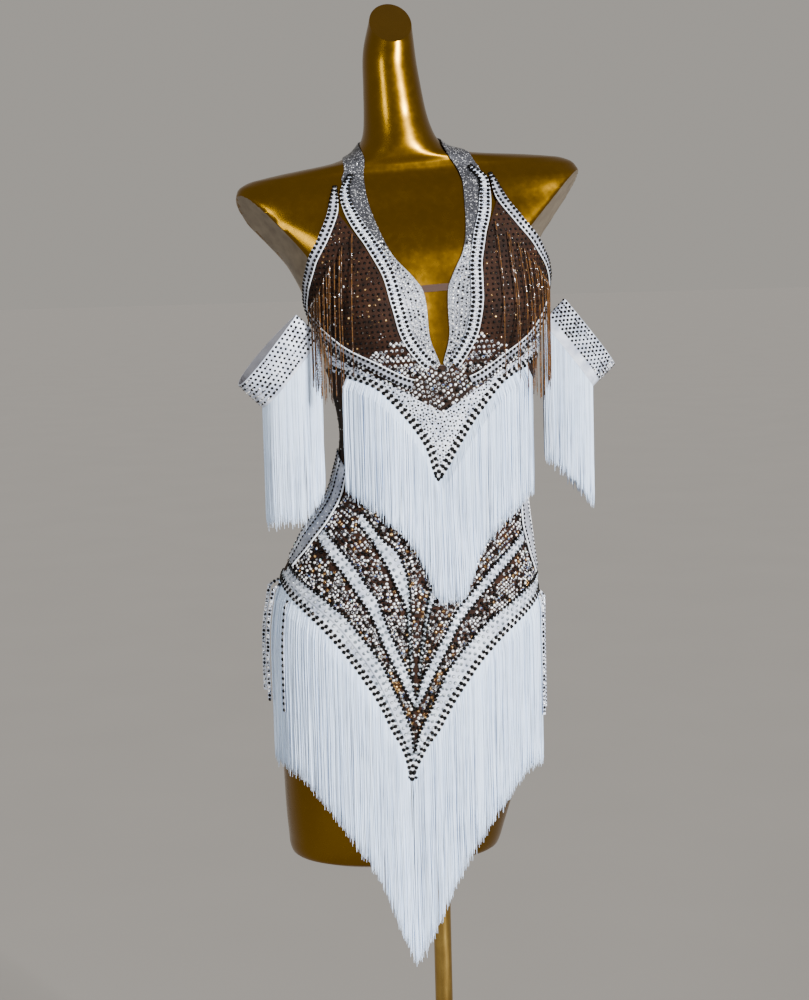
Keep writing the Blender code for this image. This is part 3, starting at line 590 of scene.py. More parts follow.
def stonePiece(name, stones):
    # stones is a list of (points, normals, diameters, kinds), each for many stones
    look = stoneShape
    places, normals, diameters, kinds = (np.concatenate(part) for part in zip(*stones))
    count, facets = len(places), look["facets"]
    normals = unit(normals + chance.normal(0, look["lean"], normals.shape))
    helper = np.where(np.abs(normals[:, 2:]) < 0.9, [[0, 0, 1.0]], [[1.0, 0, 0]])
    east = unit(np.cross(helper, normals))
    north = np.cross(normals, east)
    turn = chance.random(count)[:, None] * math.pi + np.arange(facets) * 2 * math.pi / facets
    ring = east[:, None] * np.cos(turn)[..., None] + north[:, None] * np.sin(turn)[..., None]
    radii = (diameters / 2)[:, None, None]
    up, ring, centre = normals[:, None] * radii, ring * radii, places[:, None]
    girdle = centre + ring - up * look["sink"]
    table = centre + ring * look["tableShare"] + up * look["rise"]
    c = np.arange(facets)
    d = (c + 1) % facets
    crown = np.stack([c, d, d + facets, c + facets], -1).ravel()
    template = np.concatenate([crown, c + facets, c[::-1]])
    loops = template[None] + (np.arange(count) * 2 * facets)[:, None]
    totals = np.tile([4] * facets + [facets, facets], count)
    # painted reflections: one side of the cut rim is bright and the other dark, and the flat top is one or
    # the other
    bright = chance.random((count, 1)) * 2 * math.pi
    tones = look["tone"] + look["reflectionContrast"] * np.cos(np.arange(facets + 2) * 2 * math.pi / facets - bright)
    tones += chance.uniform(-look["unevenTone"], look["unevenTone"], tones.shape)
    tones[:, facets] = np.where(chance.random(count) < look["darkTables"], *look["tableTones"])
    newPiece(name, np.concatenate([girdle, table], 1), loops, totals, [f"{k}Stone" for k in kind],
             np.repeat(kinds, facets + 2), np.clip(tones, 0, 1).ravel(), smooth=False)


allStones = {}


def keepStones(group, points, normals, size, kinds):
    part = points, normals, np.broadcast_to(size, len(points)), np.broadcast_to(kinds, len(points))
    allStones.setdefault(group, []).append(part)


def mixedKinds(count, shares):
    weights = np.array(list(shares.values()), float)
    picked = chance.choice(len(shares), count, p=weights / weights.sum())
    return np.array([kind[name] for name in shares])[picked]


def addStones(group, places, lift, size, kinds):
    # size is a diameter, or the least and the most; kinds is one kind, {kind: share}, or each stone's own
    if np.ndim(size):
        size = chance.uniform(*size, len(places))
    if isinstance(kinds, dict):
        kinds = mixedKinds(len(places), kinds)
    elif isinstance(kinds, str):
        kinds = kind[kinds]
    keepStones(group, onDress(places, lift), formNormal(places), size, kinds)


def sifted(points, gap, kept):
    # which points to keep so that none lies nearer than gap to one kept before
    keep = np.zeros(len(points), bool)
    for i, point in enumerate(points):
        cell = tuple(np.floor(point / gap).astype(int))
        near = [kept.get((cell[0] + a, cell[1] + b, cell[2] + c), ()) for a in (-1, 0, 1)
                for b in (-1, 0, 1) for c in (-1, 0, 1)]
        if all(((point - other) ** 2).sum() >= gap * gap for group in near for other in group):
            keep[i] = True
            kept.setdefault(cell, []).append(point)
    return keep


def spaced(places, lift, gap, kept):
    return places[sifted(onDress(places, lift), gap, kept)]


def rowAlong(places, pitch, start=0.0):
    # even places along a line of places
    length = travelled(formPoint(places))
    return alongLine(places, length, np.arange(start, length[-1], pitch))


def makeDressForm():
    look = bodyForm
    heights = np.linspace(sectionTable[0, 0], sectionTable[-1, 0], look["rings"])
    heights = np.sort(np.concatenate([heights, sectionTable[:, 0][:3], np.arange(*look["shoulderRings"])]))
    turns = np.arange(-180, 180, 360 / look["columns"])
    points = formPoint(paired(turns, heights[:, None]))
    cut = np.zeros(points.shape[:2], bool)
    for place, normal in look["armPlates"]:
        normal = np.array(normal) / np.linalg.norm(normal)
        past = (points - np.array(place)) @ normal
        height = points[..., 2]
        outside = (points[..., 0] - look["plateMiddle"]) * normal[0] > look["plateAcross"]
        reach = np.clip((height - look["plateFades"][0]) / look["plateFades"][1], 0, 1)
        lower = np.clip((look["edgeFades"][0] - height) / look["edgeFades"][1], 0, 2)
        cut |= (past > look["plateEdge"] + look["edgeLeans"] * lower) & outside & (height > look["plateFoot"])
        past = np.where(past > 0, past, 0) * reach * reach * (3 - 2 * reach)
        past = np.where(outside, past, 0)
        points = points - past[..., None] * normal
        cut |= (past > look["plateEdge"]) & (reach > 0.6)
    loops, totals = stackedRings(*cut.shape)
    quads = gridQuads(*cut.shape, closed=True)
    plate = np.concatenate([cut.ravel()[quads].all(1), [0, 0]])
    facingOut(newPiece("dressForm", points, loops, totals, ["goldLacquer", "armPlate"], plate))


standParts = {
    "steps": 96,
    # radius and height, up the outer side
    "standBase": [(161, 0), (163.6, 0.6), (165, 2.2), (165, 5.4), (163.4, 7.2), (160, 8), (36, 9.4),
                  (31, 10.6), (26, 14.5), (23, 20.6), (21, 22)],
    "standPole": [(11, 22.3), (11, 540), (11, 551), (13.5, 562), (20, 576), (29, 588), (37, 594),
                  (40, 596), (40, 598.4), (38.8, 599.6)],
}


def makeTurned(name):
    steps, profile = standParts["steps"], standParts[name]
    turn = np.arange(steps) * 2 * math.pi / steps
    points = [np.stack([radius * np.cos(turn), radius * np.sin(turn), np.full(steps, height)], -1)
              for radius, height in profile]
    facingOut(newPiece(name, points, *stackedRings(len(profile), steps), ["standMetal"]))


makeDressForm()
makeTurned("standBase")
makeTurned("standPole")
print("form and stand made")


def edgePlaces(edge, angles):
    return paired(angles, edgeHeight(edge, angles))


def betweenEdges(inner, outer, side, rows, columns):
    # places of the form between two edges that run side by side
    first = resampled(onSide(inner, side), rows)[:, None]
    second = resampled(onSide(outer, side), rows)[:, None]
    share = np.linspace(0, 1, columns)[None, :, None]
    return placesUnder(first * (1 - share) + second * share)


def panelPlaces(angles, top, bottom, rows):
    share = np.linspace(0, 1, rows)[:, None]
    return paired(angles, edgeHeight(top, angles) * share + edgeHeight(bottom, angles) * (1 - share))


def faceMiddles(places):
    middle = (places[:-1, :-1] + places[1:, 1:]) / 2
    return middle[..., 0], middle[..., 1]


def heightsBetween(dots, low, high):
    return dots[(dots[:, 1] > low) & (dots[:, 1] < high)]


# The bodice. An edge or a route is a table of (angle, height), used on both sides
neckStrips = {
    "inner": [(0.6, 1207), (4, 1243), (4, 1274), (4.6, 1292), (6.5, 1304), (12, 1336), (12, 1352),
              (10.2, 1380), (8.4, 1409), (10.5, 1429), (33, 1448), (60, 1459), (85, 1466), (120, 1471),
              (179, 1480)],
    "outer": [(2.6, 1200), (7, 1212), (15, 1248), (17, 1280), (17, 1312), (17.5, 1348), (16.6, 1380),
              (15.2, 1405), (16.5, 1426), (24, 1438), (48, 1446), (75, 1451), (105, 1456), (179, 1467)],
    "rows": 130, "columns": 9, "lift": 0.4,
    "whiteBelow": 1338,  # white beside the keyhole, and silver above it
    "stoneRows": (0.06, 0.27, 0.48, 0.69, 0.9), "stonesBelow": 1352, "pitch": 4.2, "size": (3.0, 3.9),
    "start": 3, "kinds": {"crystal": 0.66, "aurora": 0.12, "jet": 0.22},
}


def makeNeckStrip(side, sign, stones):
    look = neckStrips
    places = betweenEdges(look["inner"], look["outer"], sign, look["rows"], look["columns"])
    lift = layers["ground"] + look["lift"]
    clothPiece(f"neckStrip{side}", places, lift, ["silverGlitter", "whiteGlitter"],
               (stones, "keyholeBar"), finishOf=places[:-1, :-1, 1] < look["whiteBelow"])
    inner, outer = places[:, 1], places[:, -2]
    for share in look["stoneRows"]:
        row = inner * (1 - share) + outer * share
        row = row[row[:, 1] < look["stonesBelow"]]
        dots = rowAlong(row, look["pitch"], chance.random() * look["start"])
        addStones(stones, dots, lift + clothWall, look["size"], look["kinds"])


# The narrow bands, from their free tips on: the halter goes from the neck to the keyhole's tip, and
# the cup's lower end goes under the crystals. A row of stones is its offset from the band's middle,
# pitch, size, kinds, and the share of the band that it leaves bare at the tip
bands = {
    "rows": 150, "columns": 5, "margin": 0.4,
    "piping": {"radius": 0.85, "gap": 0.2, "lift": 0.5, "bareTip": 6},
    "halter": {
        "route": [(14.6, 1429), (14.6, 1408), (16.6, 1380), (17.5, 1348), (17, 1312), (17, 1280),
                  (15, 1248), (7.6, 1214), (5.0, 1206.5)],
        "width": 13.0, "taper": 31, "finish": "whiteSatin", "pipedEdge": -1,
        "stones": [(4.2, 5.2, 5.3, {"jet": 1}, 0), (-4.2, 5.2, 5.3, {"jet": 1}, 0),
                   (-1.2, 3.3, 2.6, {"crystal": 0.85, "aurora": 0.15}, 0.1),
                   (1.3, 3.3, 2.6, {"crystal": 0.85, "aurora": 0.15}, 0.1)],
    },
    "cup": {
        "route": [(17.4, 1417), (22.4, 1388), (36, 1359), (54, 1332), (71, 1304), (83, 1280),
                  (72, 1258), (57, 1236), (36, 1211), (18, 1188), (14, 1184.5)],
        "width": 11.0, "taper": 14, "finish": "greySatin", "pipedEdge": 1,
        "stones": [(-3.5, 5.2, 5.0, {"jet": 1}, 0), (3.5, 5.2, 5.0, {"jet": 1}, 0)],
    },
}


def makeBand(name, side, sign, stones):
    # returns the points and normals of the piping along the band
    look, rows, lift = bands[name], bands["rows"], layers["band"]
    line, across, half = routeBand(look["route"], sign, rows, look["width"], look["taper"])
    places = bandPlaces(line, across, np.linspace(-1, 1, bands["columns"])[:, None] * half)
    clothPiece(f"{name}Band{side}", places.transpose(1, 0, 2), lift, [look["finish"]], (stones,))
    inside = half - bands["margin"]
    for offset, pitch, size, kinds, bare in look["stones"]:
        row = bandPlaces(line, across, np.clip(np.full((1, rows), offset), -inside, inside))[0]
        dots = rowAlong(row[int(bare * (rows - 1)):], pitch, chance.random() * pitch / 2)
        addStones(stones, dots, lift + clothWall, size, kinds)
    piping = bands["piping"]
    edge = line + across * (look["pipedEdge"] * (half + piping["gap"]))[:, None]
    places = placesUnder(edge[piping["bareTip"]:])
    return onDress(places, lift + piping["lift"]), formNormal(places)


cups = {
    "inner": [(20.5, 1400), (20.6, 1380), (21, 1348), (20.5, 1312), (20.5, 1280), (18.5, 1248),
              (11, 1213), (5, 1199)],
    "outer": [(21.2, 1401), (37, 1355), (54, 1331), (70, 1304), (80, 1281), (70, 1259), (56, 1237),
              (36, 1215), (18, 1193), (6, 1192)],
    "rows": 60, "columns": 26, "drop": 0.6,
    "stoneHeights": (1196, 1396, 3.0), "pitch": 3.0, "innerMargin": 1, "outerMargin": 2.5,
    "nearby": 4, "leastRow": 2,
    # under a slanting line the crystals lie close together, and over it there are dark rows
    "denseFoot": 1246, "denseFrom": 14, "denseSlope": 1.1,
    "dense": {"gap": 3.9, "size": (4.6, 5.2), "kinds": {"crystal": 0.78, "aurora": 0.10, "jet": 0.12}},
    "dark": {"gap": 5.9, "size": (3.3, 4.0), "kinds": {"jet": 0.93, "amber": 0.05, "crystal": 0.02}},
    "small": {"count": 260, "scatter": 0.8, "gap": 3.4, "size": 1.4, "heights": (1240, 1380),
              "angles": (24, 70), "kinds": {"amber": 0.8, "crystal": 0.2}},
}


def makeCup(side, sign):
    look, stones = cups, f"cupStones{side}"
    places = betweenEdges(look["inner"], look["outer"], sign, look["rows"], look["columns"])
    lift = layers["top"] - look["drop"]
    clothPiece(f"cup{side}", places, lift, ["brownMesh"], (stones,))
    lift += clothWall
    kept, places = {}, places.reshape(-1, 2)
    for k, height in enumerate(np.arange(*look["stoneHeights"])):
        angles = np.abs(places[np.abs(places[:, 1] - height) < look["nearby"], 0])
        if not len(angles):
            continue
        first, last = angles.min() + look["innerMargin"], angles.max() - look["outerMargin"]
        if last - first < look["leastRow"]:
            continue
        line = paired(np.linspace(first, last, 80) * sign, height)
        dots = rowAlong(line, look["pitch"], chance.random() * look["pitch"])
        foot = look["denseFoot"] - (np.abs(dots[:, 0]) - look["denseFrom"]) * look["denseSlope"]
        below = dots[:, 1] < foot
        for row, sort in ((dots[below], look["dense"]), (dots[~below], look["dark"])):
            if sort is look["dense"] or k % 2 == 0:  # the dark rows are twice as far apart
                row = spaced(row, lift, sort["gap"], kept)
                addStones(stones, row, lift, sort["size"], sort["kinds"])
    small = look["small"]
    count = small["count"]
    spare = places[chance.integers(0, len(places), count)] + chance.normal(0, small["scatter"], (count, 2))
    spare = heightsBetween(spare, *small["heights"])
    angles = np.abs(spare[:, 0])
    spare = spare[(angles > small["angles"][0]) & (angles < small["angles"][1])]
    addStones(stones, spaced(spare, lift, small["gap"], kept), lift, small["size"], small["kinds"])


def makeBodice():
    piping = []
    for side, sign in sides.items():
        stones = f"bodiceStones{side}"
        makeNeckStrip(side, sign, stones)
        piping.append(makeBand("halter", side, sign, stones))
        makeCup(side, sign)
        piping.append(makeBand("cup", side, sign, stones))
    cordPiece("bodicePiping", piping, bands["piping"]["radius"], "whitePiping")


makeBodice()
print("bodice made")

# The double row of big black stones along a fringed edge. A row is its offset from the edge, where a
# negative one lies above it, and where its first stone lies as a share of the pitch
edgeStones = {"rows": [(-2.6, 0.5), (-7.4, 1.0)], "pitch": 7.6, "size": 5.8, "lift": 0.8, "clear": 3}


def besideEdge(edge, sign, reach, offsets, rows):
    # places along lines beside a fringed edge, from the centre front on
    line, across, _ = routeBand(edgePlaces(edge, np.linspace(0.001, reach, rows)), sign, rows)
    places = bandPlaces(line, across, np.asarray(offsets)[:, None] * np.ones(rows))
    places[:, 0, 0] = 0
    return places


def addEdgeStones(group, edge, reach, kept):
    look = edgeStones
    for sign in sides.values():
        for offset, start in look["rows"]:
            line = besideEdge(edge, sign, reach, [offset], 160)[0]
            row = rowAlong(line, look["pitch"], look["pitch"] * start)
            sifted(onDress(row, layers["ground"]), look["clear"], kept)
            addStones(group, row, layers["tape"] + look["lift"], look["size"], "jet")


pointPanel = {
    "edge": [(0, 1066), (3, 1078), (8, 1104), (16, 1132), (22, 1149), (28, 1164), (36, 1180),
             (47, 1190), (60, 1197), (74, 1204)],
    "top": [(0, 1205), (3, 1204), (9, 1202), (18, 1196), (36, 1213), (57, 1235), (74, 1252)],
    # brown net with close crystals above this line, and white satin below it
    "crystalFoot": [(0, 1150), (10, 1164), (22, 1180), (34, 1195), (46, 1206), (74, 1230)],
    "stonesTop": [(0, 1204), (4, 1203), (9, 1199), (18, 1189), (36, 1208), (57, 1229), (72, 1250)],
    "reach": 73, "stonesReach": 70, "edgeStonesReach": 69, "rows": 34, "columns": 141,
    "dense": {"heights": (1070, 1250, 3.0), "pitch": 3.0, "edge": 8, "top": 2.5, "gap": 3.9,
              "size": (4.6, 5.2), "kinds": {"crystal": 0.84, "aurora": 0.08, "jet": 0.08}},
    # the white cloth: small dark dots, then clear crystals between them, each with its pitch
    "sparse": {"heights": (1072, 1250, 1.9), "dots": (("jet", 1.7), ("crystal", 1.3)), "edge": 9,
               "top": 2, "gap": 3.3, "darkGap": 6.0, "size": 3.3},
}


def pointLimits(dots):
    # the heights of the panel's edge, the close crystals' foot and the stones' top over each dot
    return (edgeHeight(pointPanel[key], dots[:, 0]) for key in ("edge", "crystalFoot", "stonesTop"))


def makePointPanel():
    look, group = pointPanel, "pointStones"
    angles = np.linspace(-look["reach"], look["reach"], look["columns"])
    places = panelPlaces(angles, look["top"], look["edge"], look["rows"])
    angle, height = faceMiddles(places)
    clothPiece("bustPointPanel", places, layers["ground"], ["whiteSatin", "brownNet"],
               (group, "bodiceFringe", "bodiceFringeTape"),
               finishOf=height > edgeHeight(look["crystalFoot"], angle))
    kept, darkKept = {}, {}
    lift = layers["ground"] + clothWall
    addEdgeStones(group, look["edge"], look["edgeStonesReach"], kept)
    fine = np.linspace(-look["stonesReach"], look["stonesReach"], 300)
    dense, sparse = look["dense"], look["sparse"]
    for k, height in enumerate(np.arange(*dense["heights"])):
        dots = rowAlong(paired(fine, height), dense["pitch"], (k % 2) * dense["pitch"] / 2)
        edge, foot, top = pointLimits(dots)
        dots = heightsBetween(dots, np.maximum(edge + dense["edge"], foot), top - dense["top"])
        addStones(group, spaced(dots, lift, dense["gap"], kept), lift, dense["size"], dense["kinds"])
    for name, pitch in sparse["dots"]:
        for height in np.arange(*sparse["heights"]):
            dots = rowAlong(paired(fine, height), pitch, chance.random() * pitch)
            edge, foot, top = pointLimits(dots)
            dots = heightsBetween(dots, edge + sparse["edge"], np.minimum(foot, top) - sparse["top"])
            if name == "jet":
                dots = spaced(dots, lift, sparse["darkGap"], darkKept)
            addStones(group, spaced(dots, lift, sparse["gap"], kept), lift, sparse["size"], name)


keyhole = {"height": 1294.0, "reach": 6.2, "width": 8.0, "lift": 0.3}


def makeKeyholeBar():
    # a flat bar across the keyhole, whose ends go under the neck strips
    look = keyhole
    heights = look["height"] + np.linspace(-look["width"] / 2, look["width"] / 2, 7)
    places = paired(np.linspace(-look["reach"], look["reach"], 31), heights[:, None])
    wallPiece("keyholeBar", onDress(places, look["lift"]), onDress(places, look["lift"] + clothWall),
              ["nudeElastic"])


# The hips. The tables are (angle, height) again
hips = {
    "top": [(0, 1040), (50, 1052), (74, 1068), (80, 1046), (89, 1000), (98, 962)],
    "edge": [(0, 711), (4, 750), (9, 775), (14, 804), (20, 829), (26, 851), (34, 873), (42, 889),
             (58, 910), (78, 926), (98, 934)],
    "sideSeam": 98.0, "rows": 60, "columns": 181, "edgeStonesReach": 97,
    "whiteOver": 2,  # how far the white cloth goes up under the outer ray
}
backPieces = {
    "seam": 0.8, "sideHeight": 1206, "netRows": 44, "netColumns": 141,
    "netStones": {"count": 260, "angles": (55, 95), "heights": (1075, 1190), "gap": 8.5, "size": 2.3,
                  "kinds": {"crystal": 0.5, "jet": 0.4, "amber": 0.1}},
    "band": [(84, 1276), (100, 1273), (130, 1268), (180, 1265)], "bandReach": 96, "bandWidth": 22.0,
    "hipTop": [(98, 962), (125, 945), (180, 930)], "hipEdge": [(98, 934), (135, 900), (180, 862)],
    "hipGap": 0.3, "hipRows": 20, "columns": 121,
    "topStones": {"drop": 2.4, "pitch": 4.6, "size": 3.0},
}


def makeNetAndBack():
    look, ground = backPieces, layers["ground"]
    netTop = [(a, h - look["seam"]) for a, h in pointPanel["edge"]] + [(hips["sideSeam"], look["sideHeight"])]
    netFoot = [(a, h + look["seam"]) for a, h in hips["top"]]
    angles = np.linspace(-hips["sideSeam"], hips["sideSeam"], look["netColumns"])
    places = panelPlaces(angles, netTop, netFoot, look["netRows"])
    clothPiece("midriffNet", places, ground, ["brownNet"], ("netStones",))
    dots = look["netStones"]
    angles = chance.uniform(*dots["angles"], dots["count"]) * chance.choice([-1, 1], dots["count"])
    places = paired(angles, chance.uniform(*dots["heights"], dots["count"]))
    places = spaced(places, 2, dots["gap"], {})
    addStones("netStones", places, ground + clothWall, dots["size"], dots["kinds"])
    # the pieces behind, whose angles count from the centre back
    turn = np.linspace(-look["bandReach"], look["bandReach"], look["columns"])
    half = look["bandWidth"] / 2
    height = behind(look["band"], turn) + np.linspace(-half, half, 9)[:, None]
    clothPiece("backBand", paired(turn + 180, height), ground, ["whiteSatin"])
    reach = 180 - hips["sideSeam"] - look["hipGap"]
    turn = np.linspace(-reach, reach, look["columns"])
    share = np.linspace(0, 1, look["hipRows"])[:, None]
    height = behind(look["hipEdge"], turn) * (1 - share) + behind(look["hipTop"], turn) * share
    clothPiece("hipBackPanel", paired(turn + 180, height), ground, ["brownMesh"],
               ("backStones", "skirtFringeBack", "skirtFringeBackTape"))
    for offset, start in edgeStones["rows"]:
        row = paired(turn + 180, behind(look["hipEdge"], turn) - offset)
        row = rowAlong(row, edgeStones["pitch"], (start - 0.5) * edgeStones["pitch"])
        addStones("backStones", row, layers["tape"] + edgeStones["lift"], edgeStones["size"], "jet")
    dots = look["topStones"]
    row = rowAlong(paired(turn + 180, behind(look["hipTop"], turn) - dots["drop"]), dots["pitch"])
    addStones("backStones", row, ground + clothWall, dots["size"], "crystal")


makePointPanel()
makeKeyholeBar()
makeNetAndBack()
print("point panel, net and back made")

# The rays are satin stripes over the hips. An outer or a middle one is its lower edge, where it ends,
# and the edges that have black stones, as shares of its width
rays = {
    "Outer": {"low": [(0, 735), (3, 762), (8, 796), (13, 828), (21, 862), (34, 897), (53, 922), (80, 942)],
              "end": 80.0, "darkEdges": (1.0,)},
    "Middle": {"low": [(0, 800), (7, 846), (12, 876), (17, 905), (26, 935), (34, 954), (44, 971), (60, 992)],
               "end": 60.0, "darkEdges": (0.0, 1.0)},
    # the inner ray is two separate stripes, widest beside the middle and narrow at its tip
    "Inner": {"low": [(1, 838), (4, 918), (8, 940), (12, 958), (16, 972), (25, 996), (38, 1018)],
              "end": 38, "width": 12, "swell": 20, "swellAt": 8, "swellAcross": 9, "tip": 3, "tipLoss": 8,
              "darkEdges": (0.0, 1.0)},
    "width": 12.0, "steepest": 2.2, "rows": 6, "columns": 221, "innerRows": 5, "innerColumns": 90,
    "dark": {"pitch": 5.4, "start": 2, "size": 5.0, "lift": 0.1},
    "clear": {"pitch": 8.4, "size": 5.6, "lift": -0.2, "rows": ((0.3, 0.0), (0.7, 4.0))},
}


def rayLines(name, reach, count):
    # angles at even lengths along a ray's lower edge, that edge, and the ray's height over it
    table = rays[name]["low"]
    fine = np.linspace(-reach, reach, 600)
    length = travelled(formPoint(edgePlaces(table, fine)))
    angles = np.interp(np.linspace(0, length[-1], count), length, fine)
    run = formPoint(edgePlaces(table, angles + 1)) - formPoint(edgePlaces(table, angles - 1))
    steep = np.abs(run[:, 2]) / np.linalg.norm(run[:, :2], axis=1)
    rise = rays["width"] * np.sqrt(1 + np.minimum(steep, rays["steepest"]) ** 2)
    return angles, edgeHeight(table, angles), rise


def rayTop(name, angle):
    angles, _, rise = rayLines(name, hips["sideSeam"], 400)
    return edgeHeight(rays[name]["low"], angle) + np.interp(angle, angles, rise)


def innerSwell(angle):
    look = rays["Inner"]
    return look["swell"] * np.exp(-((angle - look["swellAt"]) / look["swellAcross"]) ** 2)


def makeRay(name, angles, low, rise, rows, darkEdges, carried):
    places = paired(angles, low + rise * np.linspace(0, 1, rows)[:, None])
    clothPiece(f"rayBand{name}", places, layers["top"], ["whiteSatin"], carried, ("hipPanel",))
    # black stones along the edges, and big clear ones in two staggered rows between them
    dark, clear = rays["dark"], rays["clear"]
    lift = layers["top"] + clothWall
    for share in darkEdges:
        dots = rowAlong(paired(angles, low + rise * share), dark["pitch"],
                        chance.random() * dark["start"])
        addStones("rayStones", dots, lift + dark["lift"], dark["size"], "jet")
    for share, start in clear["rows"]:
        dots = rowAlong(paired(angles, low + rise * share), clear["pitch"], start)
        addStones("rayStones", dots, lift + clear["lift"], clear["size"], "clear")


def makeHipPanel():
    angles = np.linspace(-hips["sideSeam"], hips["sideSeam"], hips["columns"])
    places = panelPlaces(angles, hips["top"], hips["edge"], hips["rows"])
    angle, height = faceMiddles(places)
    clothPiece("hipPanel", places, layers["ground"], ["brownMesh", "whiteSatin"],
               ("hipFieldStones", "hipEdgeStones", "skirtFringeFront", "skirtFringeFrontTape"),
               finishOf=height < edgeHeight(rays["Outer"]["low"], angle) + hips["whiteOver"])
    addEdgeStones("hipEdgeStones", hips["edge"], hips["edgeStonesReach"], {})


def makeRays():
    for name in ("Outer", "Middle"):
        lines = rayLines(name, rays[name]["end"], rays["columns"])
        makeRay(name, *lines, rays["rows"], rays[name]["darkEdges"], ("rayStones",))
    look = rays["Inner"]
    angles = np.linspace(look["low"][0][0], look["end"], rays["innerColumns"])
    low = edgeHeight(look["low"], angles)
    tip = look["tip"]
    rise = look["width"] + innerSwell(angles) - look["tipLoss"] * (angles < tip) * (tip - angles) / tip
    for side, sign in sides.items():
        makeRay(f"Inner{side}", angles * sign, low, rise, rays["innerRows"], look["darkEdges"], ())


hipStones = {
    "reach": 96, "rowHeight": 3.6, "leastHeight": 5, "margin": 2, "underMargin": 1, "pitch": 2.2,
    "start": 3, "gap": 3.85,
    "size": (4.3, 5.1), "kinds": {"crystal": 0.58, "aurora": 0.12, "amber": 0.06, "jet": 0.24},
    "thinFrom": 0.66, "thinning": 1.5, "amberBelow": 850, "amberShare": 0.4,
    "edgeReach": 94, "edgeRows": (0.45, 0.8), "edgeRoom": 9, "edgePitch": 8.4, "edgeStart": 4,
    "edgeSize": 5.6,
    "innerWidth": 14, "middleSlope": 3,
}


def makeHipField():
    # crystals in rows that follow the rays, closest just above each ray, with brown left under the next
    look, lift = hipStones, layers["ground"] + clothWall
    fine = np.linspace(-look["reach"], look["reach"], 400)
    away = np.abs(fine)
    end, innerEnd = rays["Middle"]["end"], rays["Inner"]["end"]
    outerTop, middleTop, top = rayTop("Outer", fine), rayTop("Middle", fine), edgeHeight(hips["top"], fine)
    middleLow = edgeHeight(rays["Middle"]["low"], fine)
    beyond = np.minimum(top, middleLow + (away - end) * look["middleSlope"])
    middleLow = np.where(away > end, beyond, middleLow)
    middleTop = np.where(away > end, middleLow, middleTop)
    innerLow = np.where(away < innerEnd, edgeHeight(rays["Inner"]["low"], fine), top)
    innerTop = innerLow + np.where(away < innerEnd, look["innerWidth"] + innerSwell(away), 0)
    margin, kept = look["margin"], {}
    fields = ((outerTop + margin, middleLow - look["underMargin"]),
              (middleTop + margin, innerLow - look["underMargin"]), (innerTop + margin, top - margin))
    for lower, upper in fields:
        rows = int((upper - lower).max() / look["rowHeight"]) + 1
        for r in range(rows):
            share = (r + 0.5) / rows
            height = lower + (upper - lower) * share
            line = paired(fine, height)[(upper - lower > look["leastHeight"]) & (height < top - margin)]
            if len(line) < 3:
                continue
            dots = rowAlong(line, look["pitch"], chance.random() * look["start"])
            keep = sifted(onDress(dots, lift), look["gap"], kept)
            fewer = max(0, (share - look["thinFrom"]) * look["thinning"])
            dots = dots[keep & (chance.random(len(dots)) > fewer)]
            kinds = mixedKinds(len(dots), look["kinds"])
            # more amber stones towards the point
            turned = (kinds == kind["crystal"]) & (chance.random(len(dots)) < look["amberShare"])
            kinds[turned & (dots[:, 1] < look["amberBelow"])] = kind["amber"]
            addStones("hipFieldStones", dots, lift, look["size"], kinds)
    # the white cloth between the edge and the outer ray
    angles, low, _ = rayLines("Outer", look["edgeReach"], 300)
    edge = edgeHeight(hips["edge"], angles)
    for share in look["edgeRows"]:
        line = paired(angles, edge + (low - edge) * share)[low - edge > look["edgeRoom"] / (share + 0.4)]
        for half in (line[line[:, 0] < 0], line[line[:, 0] > 0]):
            if len(half) > 3:
                dots = rowAlong(half, look["edgePitch"], chance.random() * look["edgeStart"])
                addStones("hipEdgeStones", dots, lift + rays["clear"]["lift"], look["edgeSize"], "clear")


hipBands = {
    "front": [(62, 1080), (61, 1050), (60, 1014), (65, 985), (73, 955)],
    "back": [(88, 1104), (90, 1074), (91, 1040), (92, 1005), (92, 966)],
    "rows": 70, "columns": 13, "greyColumns": 6, "start": 2,
    # where across the band a row lies, pitch, size, kinds
    "stones": [(0.07, 5.2, 4.3, {"jet": 1}), (0.46, 5.2, 4.3, {"jet": 1}), (0.64, 4.4, 3.4, {"crystal": 1}),
               (0.86, 5.2, 4.3, {"jet": 1}), (0.95, 4.2, 3.6, {"crystal": 0.8, "aurora": 0.2}),
               (0.76, 4.4, 3.4, {"crystal": 1}), (0.25, 8.5, 3.2, {"clear": 1})],
    "piping": (0.0, 0.53), "pipingLift": 0.9, "pipingRadius": 1.0,
}


def makeHipBands():
    look, lift, piping = hipBands, layers["band"], []
    for side, sign in sides.items():
        places = betweenEdges(look["front"], look["back"], sign, look["rows"], look["columns"])
        grey = np.zeros((look["rows"] - 1, look["columns"] - 1))
        grey[:, :look["greyColumns"]] = 1
        clothPiece(f"hipBand{side}", places, lift, ["whiteSatin", "greySatin"], ("hipBandStones",),
                   ("hipPanel",), grey)
        for share, pitch, size, kinds in look["stones"]:
            line = places[:, 0] * (1 - share) + places[:, -1] * share
            dots = rowAlong(line, pitch, chance.random() * look["start"])
            addStones("hipBandStones", dots, lift + clothWall, size, kinds)
        for share in look["piping"]:
            line = places[:, 0] * (1 - share) + places[:, -1] * share
            piping.append((onDress(line, lift + look["pipingLift"]), formNormal(line)))
    cordPiece("hipPiping", piping, look["pipingRadius"], "whitePiping")


makeHipPanel()
makeRays()
makeHipField()
makeHipBands()
print("hips made")

